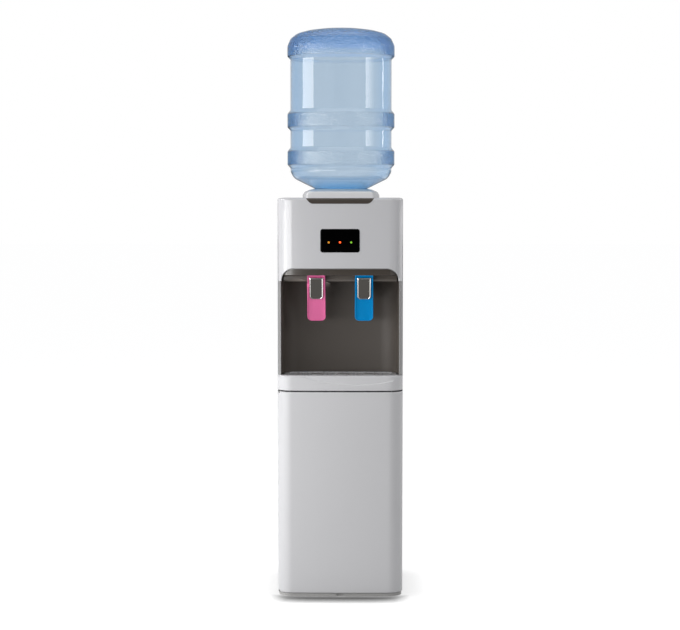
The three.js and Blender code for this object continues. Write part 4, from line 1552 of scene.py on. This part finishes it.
@dataclass
class Bottle:
    """The inverted bottle, its cap and the white collar that it stands in."""

    sides: int = 160
    wall: float = 1.6 * MM

    def build(self) -> None:
        """Build and dress every piece."""
        self.collar()
        self.shell()
        self.cap()

    def collar(self) -> None:
        """Turn the ring with its rounded crest and build the bridge that runs to the front."""
        z = PLAN.top + 0.3 * MM
        crest, r = 1013.2 * MM, 97 * MM
        outer = filleted([(r, z, 0), (r, z + 7 * MM, 4 * MM), (r - 5 * MM, z + 15 * MM, 8 * MM),
                          (r - 18 * MM, z + 20.5 * MM, 12 * MM), (68 * MM, crest, 3 * MM),
                          (36 * MM, 995.5 * MM, 3 * MM), (36 * MM, 921 * MM, 0)], 8)
        inner = [(39 * MM, 921 * MM), (39 * MM, 991 * MM), (66 * MM, 1005 * MM), (r - 17 * MM, 1003 * MM),
                 (r - 4 * MM, 995 * MM), (r - 4 * MM, z)]
        ring = turn("collar_ring", [*outer, *inner], self.sides)
        # The ring and the bridge take the white that is painted brighter, which stands in for light from
        # above.
        dress(ring, Finishes.PAINTED_BRIGHT_WHITE, "cabinet", "bottle_collar")
        top, front, bend = 1007 * MM, -150 * MM, 10 * MM
        loops: list[Loop] = []
        rows = ((-60 * MM, 0.0), (front + 5 * MM, 0.0), (front + 2.4 * MM, 0.5), (front + 0.7 * MM, 1.9),
                (front, 4.2))
        for y, inset in rows:
            half, crown = 83 * MM - inset * MM, top - inset * MM - bend
            section = [(-half, z), (half, z), *arc(half - bend, crown, bend, 0, 90, 9),
                       *arc(bend - half, crown, bend, 90, 180, 9)]
            loops.append([(x, y, h) for x, h in section])
        dress(loft("collar_bridge", loops), Finishes.PAINTED_BRIGHT_WHITE, "cabinet")

    @staticmethod
    def outline() -> list[Point2]:
        """Return the bottle's outer line from the neck's end up to the middle of its base."""
        def ring(low: float) -> list[Point3]:
            """Return the corners of one grip ring, each with its rounding."""
            return [(127.5, low, 3), (135, low + 9, 3), (135, low + 42, 3), (127.5, low + 52, 3)]

        corners = [
            (27.5, 928, 0), (27.5, 994, 3), (66, 1013.2, 40), (119, 1039.5, 28), (127.5, 1056, 18),
            *ring(1065), *ring(1159), (127.5, 1337, 2), (135, 1345, 3), (135, 1371, 20), (127, 1389, 18),
            (111, 1401.5, 30), (86, 1408.5, 50), (54, 1413, 6), (45, 1409, 6), (20, 1404.5, 12),
            (0.3, 1404, 0),
        ]
        return [(r * MM, z * MM) for r, z in filleted(corners, 7)]

    def shell(self) -> None:
        """Turn the thin clear shell, pebbled on its base and its two grip rings."""
        line = self.outline()
        inner: list[Point2] = []
        for i, (r, z) in enumerate(line):
            before, after = line[max(i - 1, 0)], line[min(i + 1, len(line) - 1)]
            along = Vector((after[0] - before[0], after[1] - before[1])).normalized()
            inner.append((max(r - along.y * self.wall, 0.25 * MM), z + along.x * self.wall))
        inner[0] = (line[0][0] - self.wall, line[0][1])
        inner[-1] = (0.3 * MM, line[-1][1] - self.wall)
        finish = TintedClear(
            "Clear blue polycarbonate", "bottle_blue", clear=(0.65, 0.735, 0.815), edge=(0.50, 0.66, 0.83),
            deep=(0.03, 0.36, 0.96), speck=(0.01, 0.25, 0.80),
            neck=(0.30, 0.56, 0.80), bands=((1.076, 1.105), (1.17, 1.199), (1.347, 1.43)),
            neck_fade=(1.008, 1.040), dome_fade=(1.350, 1.362),
        )
        piece = turn("bottle_clear_shell", [*line, *inner[::-1]], self.sides)
        dress(piece, finish, "bottle", "bottle_shell")

    def cap(self) -> None:
        """Turn the blue cap with its pierced middle."""
        low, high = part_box("bottle_cap")
        z, r, h = low[2], high[0], high[2] - low[2]
        profile = [(12 * MM, 0), (r - 1.5 * MM, 0), (r, 1.5 * MM), (r, h), (28 * MM, h), (28 * MM, 2.2 * MM),
                   (12 * MM, 2.2 * MM)]
        dress(turn("bottle_cap_moulding", profile, 64, (0, 0, z)), Finishes.BLUE, "bottle", "bottle_cap")


# ---------------------------------------------------------------- studio


@dataclass
class Studio:
    """Pale floor, soft lights, plain surroundings and the camera."""

    distance: float = 4.5
    eye_height: float = 1.010
    eye_across: float = 0.07
    pitch: float = math.radians(3.893)
    lens: float = 97.25
    fill: float = 0.33
    rear_fill: float = 0.5
    contact: float = 0.075
    contact_depth: float = 3.7
    floor_half: float = 30.0
    floor_glow: float = 0.88
    floor_tone: float = 0.30
    mirror_reach: Point2 = (2.5, 6.0)

    def build(self) -> None:
        """Build the stage, the lights and the camera."""
        self.floor()
        self.world()
        self.lights()
        self.camera()

    def contact_shade(self, paint: Shading, place: Socket) -> Socket:
        """Return how the floor darkens close to the base, most of all along the front.

        Args:
            paint: The floor's shading.
            place: Where on the floor, in its own coordinates.

        Returns:
            The shade's socket, where 1 is none.
        """
        near = paint.add("AmbientOcclusion", {"Distance": self.contact}, samples=8).outputs["AO"]
        deep = paint.maths("POWER", near, self.contact_depth)
        split = paint.split(place)
        ahead = paint.ramp(split["Y"], (-0.165, -0.12), (1.0, 0.2))
        beside = paint.ramp(paint.maths("ABSOLUTE", split["X"]), (0.135, 0.175), (1.0, 0.2))
        return paint.blend(paint.maths("MINIMUM", ahead, beside), 1.0, deep, "FLOAT")

    def floor(self) -> None:
        """Lay a wide pale floor that stays bright and darkens only close to the base."""
        size = self.floor_half
        points = [(-size, -size, 0), (size, -size, 0), (size, size, 0), (-size, size, 0)]
        floor = make_piece("studio_floor", points, [[0, 1, 2, 3]], closed=False)
        paint = Shading("Studio floor")
        path = paint.add("LightPath").outputs
        place = paint.add("TexCoord").outputs["Object"]
        shade = self.contact_shade(paint, place)
        reach = paint.add("VectorMath", {0: place}, operation="LENGTH").outputs["Value"]
        close = paint.ramp(reach, self.mirror_reach, (0.75, 0.0))
        far = paint.maths("MULTIPLY", paint.ramp(reach, self.mirror_reach), path["Is Glossy Ray"])
        fall = paint.ramp(far, (0.0, 1.0), (self.floor_tone, self.floor_tone * 0.12))
        direct = paint.maths("MAXIMUM", path["Is Camera Ray"], path["Is Transmission Ray"])
        bright = paint.maths("MAXIMUM", direct, paint.maths("MULTIPLY", path["Is Glossy Ray"], close))
        tone = paint.maths("MULTIPLY", shade, fall)
        floor.data.materials.append(
            paint.finish({"Base Color": tone, "Roughness": 0.9, "Specular IOR Level": 0.0})
        )
        matt = paint.shader.outputs[0]
        glow = paint.add("Emission", {"Strength": paint.maths("MULTIPLY", shade, self.floor_glow)})
        both = paint.add("AddShader", {0: matt, 1: glow.outputs[0]})
        seen = paint.add("MixShader", {"Fac": bright, 1: matt, 2: both.outputs[0]})
        paint.feed(paint.tree.nodes["Material Output"].inputs["Surface"], seen.outputs[0])

    def world(self) -> None:
        """Surround the stage with white to the eye and soft grey, dark in front, to what it lights."""
        world = bpy.data.worlds.new("Studio surroundings")
        bpy.context.scene.world = world
        world.use_nodes = True
        sky = Wiring(world.node_tree)
        sky.tree.nodes.clear()
        path = sky.add("LightPath").outputs
        rearward = sky.split(sky.add("TexCoord").outputs["Generated"])["Y"]
        side = sky.ramp(rearward, (-0.995, -0.90), (0.0, self.fill))
        behind = sky.ramp(rearward, (0.0, 0.5), (0.0, self.rear_fill - self.fill))
        total = sky.maths("ADD", side, behind)
        lit = sky.add("Background", {"Color": (0.985, 0.985, 1.0), "Strength": total})
        seen = sky.add("Background", {"Color": (1.0, 1.0, 1.0), "Strength": 1.0})
        direct = sky.maths("MAXIMUM", path["Is Camera Ray"], path["Is Transmission Ray"])
        mixed = sky.add("MixShader", {"Fac": direct, 1: lit.outputs[0], 2: seen.outputs[0]})
        sky.add("OutputWorld", {"Surface": mixed.outputs[0]})

    @staticmethod
    def softbox(name: str, place: Point3, target: Point3, size: Point2, glow: float,
                fade: bool = False) -> None:
        """Hang one rectangular soft light.

        Args:
            name: The light's name.
            place: Where it hangs.
            target: What it faces.
            size: Width and height.
            glow: How bright its face is, where 1 is plain white.
            fade: Whether it dims towards its far side.
        """
        data = bpy.data.lights.new(name, "AREA")
        data.shape = "RECTANGLE"
        data.size, data.size_y = size
        data.energy = glow * math.pi * size[0] * size[1]
        if fade:
            data.use_nodes = True
            fading = Wiring(data.node_tree)
            across = fading.split(fading.add("NewGeometry").outputs["Parametric"])["X"]
            dim = fading.ramp(across, (0.0, 1.0), (1.0, 0.1), smooth=True)
            fading.feed(fading.tree.nodes["Emission"].inputs["Strength"], dim)
        light = bpy.data.objects.new(name, data)
        light.location = place
        light.rotation_euler = (Vector(target) - Vector(place)).to_track_quat("-Z", "Y").to_euler()
        light.visible_camera = False
        light.visible_transmission = False
        bpy.context.collection.objects.link(light)

    def around(self, name: str, bearings: Point2, heights: Point2, distance: float, glow: float,
               fade: bool = False) -> None:
        """Stand a soft light between two bearings round the cabinet.

        Args:
            name: The light's name.
            bearings: Where its sides stand, in degrees from the front; below zero is to the left.
            heights: Its lower and upper edge.
            distance: How far from the middle it stands.
            glow: How bright its face is.
            fade: Whether it dims towards its far side.
        """
        a, b = (math.radians(angle) for angle in bearings)
        first = Vector((distance * math.sin(a), -distance * math.cos(a), 0))
        last = Vector((distance * math.sin(b), -distance * math.cos(b), 0))
        middle, height = (first + last) / 2, sum(heights) / 2
        size = ((last - first).length, heights[1] - heights[0])
        self.softbox(name, (middle.x, middle.y, height), (0, 0, height), size, glow, fade)

    def lights(self) -> None:
        """Stand low lights for the cabinet, tall ones for the bottle, a niche strip and a top light."""
        self.around("Low key", (-62, -10.4), (0.35, 1.0), 3.2, 4.8)
        self.around("Left side", (-76, -50), (0.02, 0.95), 1.15, 2.15)
        self.around("Right fill", (25, 62), (0.3, 0.95), 3.0, 0.4)
        self.around("Right rear", (96, 140), (0.1, 0.95), 3.0, 1.0)
        self.around("Left box", (-94, -62.5), (1.08, 1.85), 2.6, 7.0)
        self.around("Right box", (57, 80), (1.08, 1.85), 2.6, 6.0, fade=True)
        self.around("Rim strip", (108, 110.5), (1.08, 1.85), 2.6, 10.0)
        self.softbox("Niche strip", (-0.066, -0.092, 0.783), (-0.110, -0.070, 0.700), (0.13, 0.03), 1.5)
        self.softbox("Top light", (0, 0.3, 3.6), (0, 0, 0), (3.0, 3.0), 1.0)

    def camera(self) -> None:
        """Set the camera in front of the dispenser, a little to the right and looking slightly down."""
        data = bpy.data.cameras.new("Studio camera")
        data.lens = self.lens
        data.sensor_width = 36.0
        data.clip_end = 60.0
        camera = bpy.data.objects.new("Studio camera", data)
        eye = Vector((self.eye_across, PLAN.front - self.distance, self.eye_height))
        aim = Vector((0.0, PLAN.front, self.eye_height - self.distance * math.tan(self.pitch)))
        camera.location = eye
        camera.rotation_euler = (aim - eye).to_track_quat("-Z", "Y").to_euler()
        bpy.context.collection.objects.link(camera)
        scene = bpy.context.scene
        scene.camera = camera
        scene.view_settings.view_transform = "Standard"


def main() -> None:
    """Build every sub-assembly in order, then the stage."""
    logging.basicConfig(level=logging.INFO, format="%(name)s: %(message)s")
    parts = [Cabinet(), Fascia(), CupNiche(), Tap(Water.HOT), Tap(Water.COLD), DripTray(), StorageBay(),
             StorageDoor(), WaterSystem(), RearFittings(), Bottle(), Studio()]
    for part in parts:
        part.build()


if __name__ == "__main__":
    main()
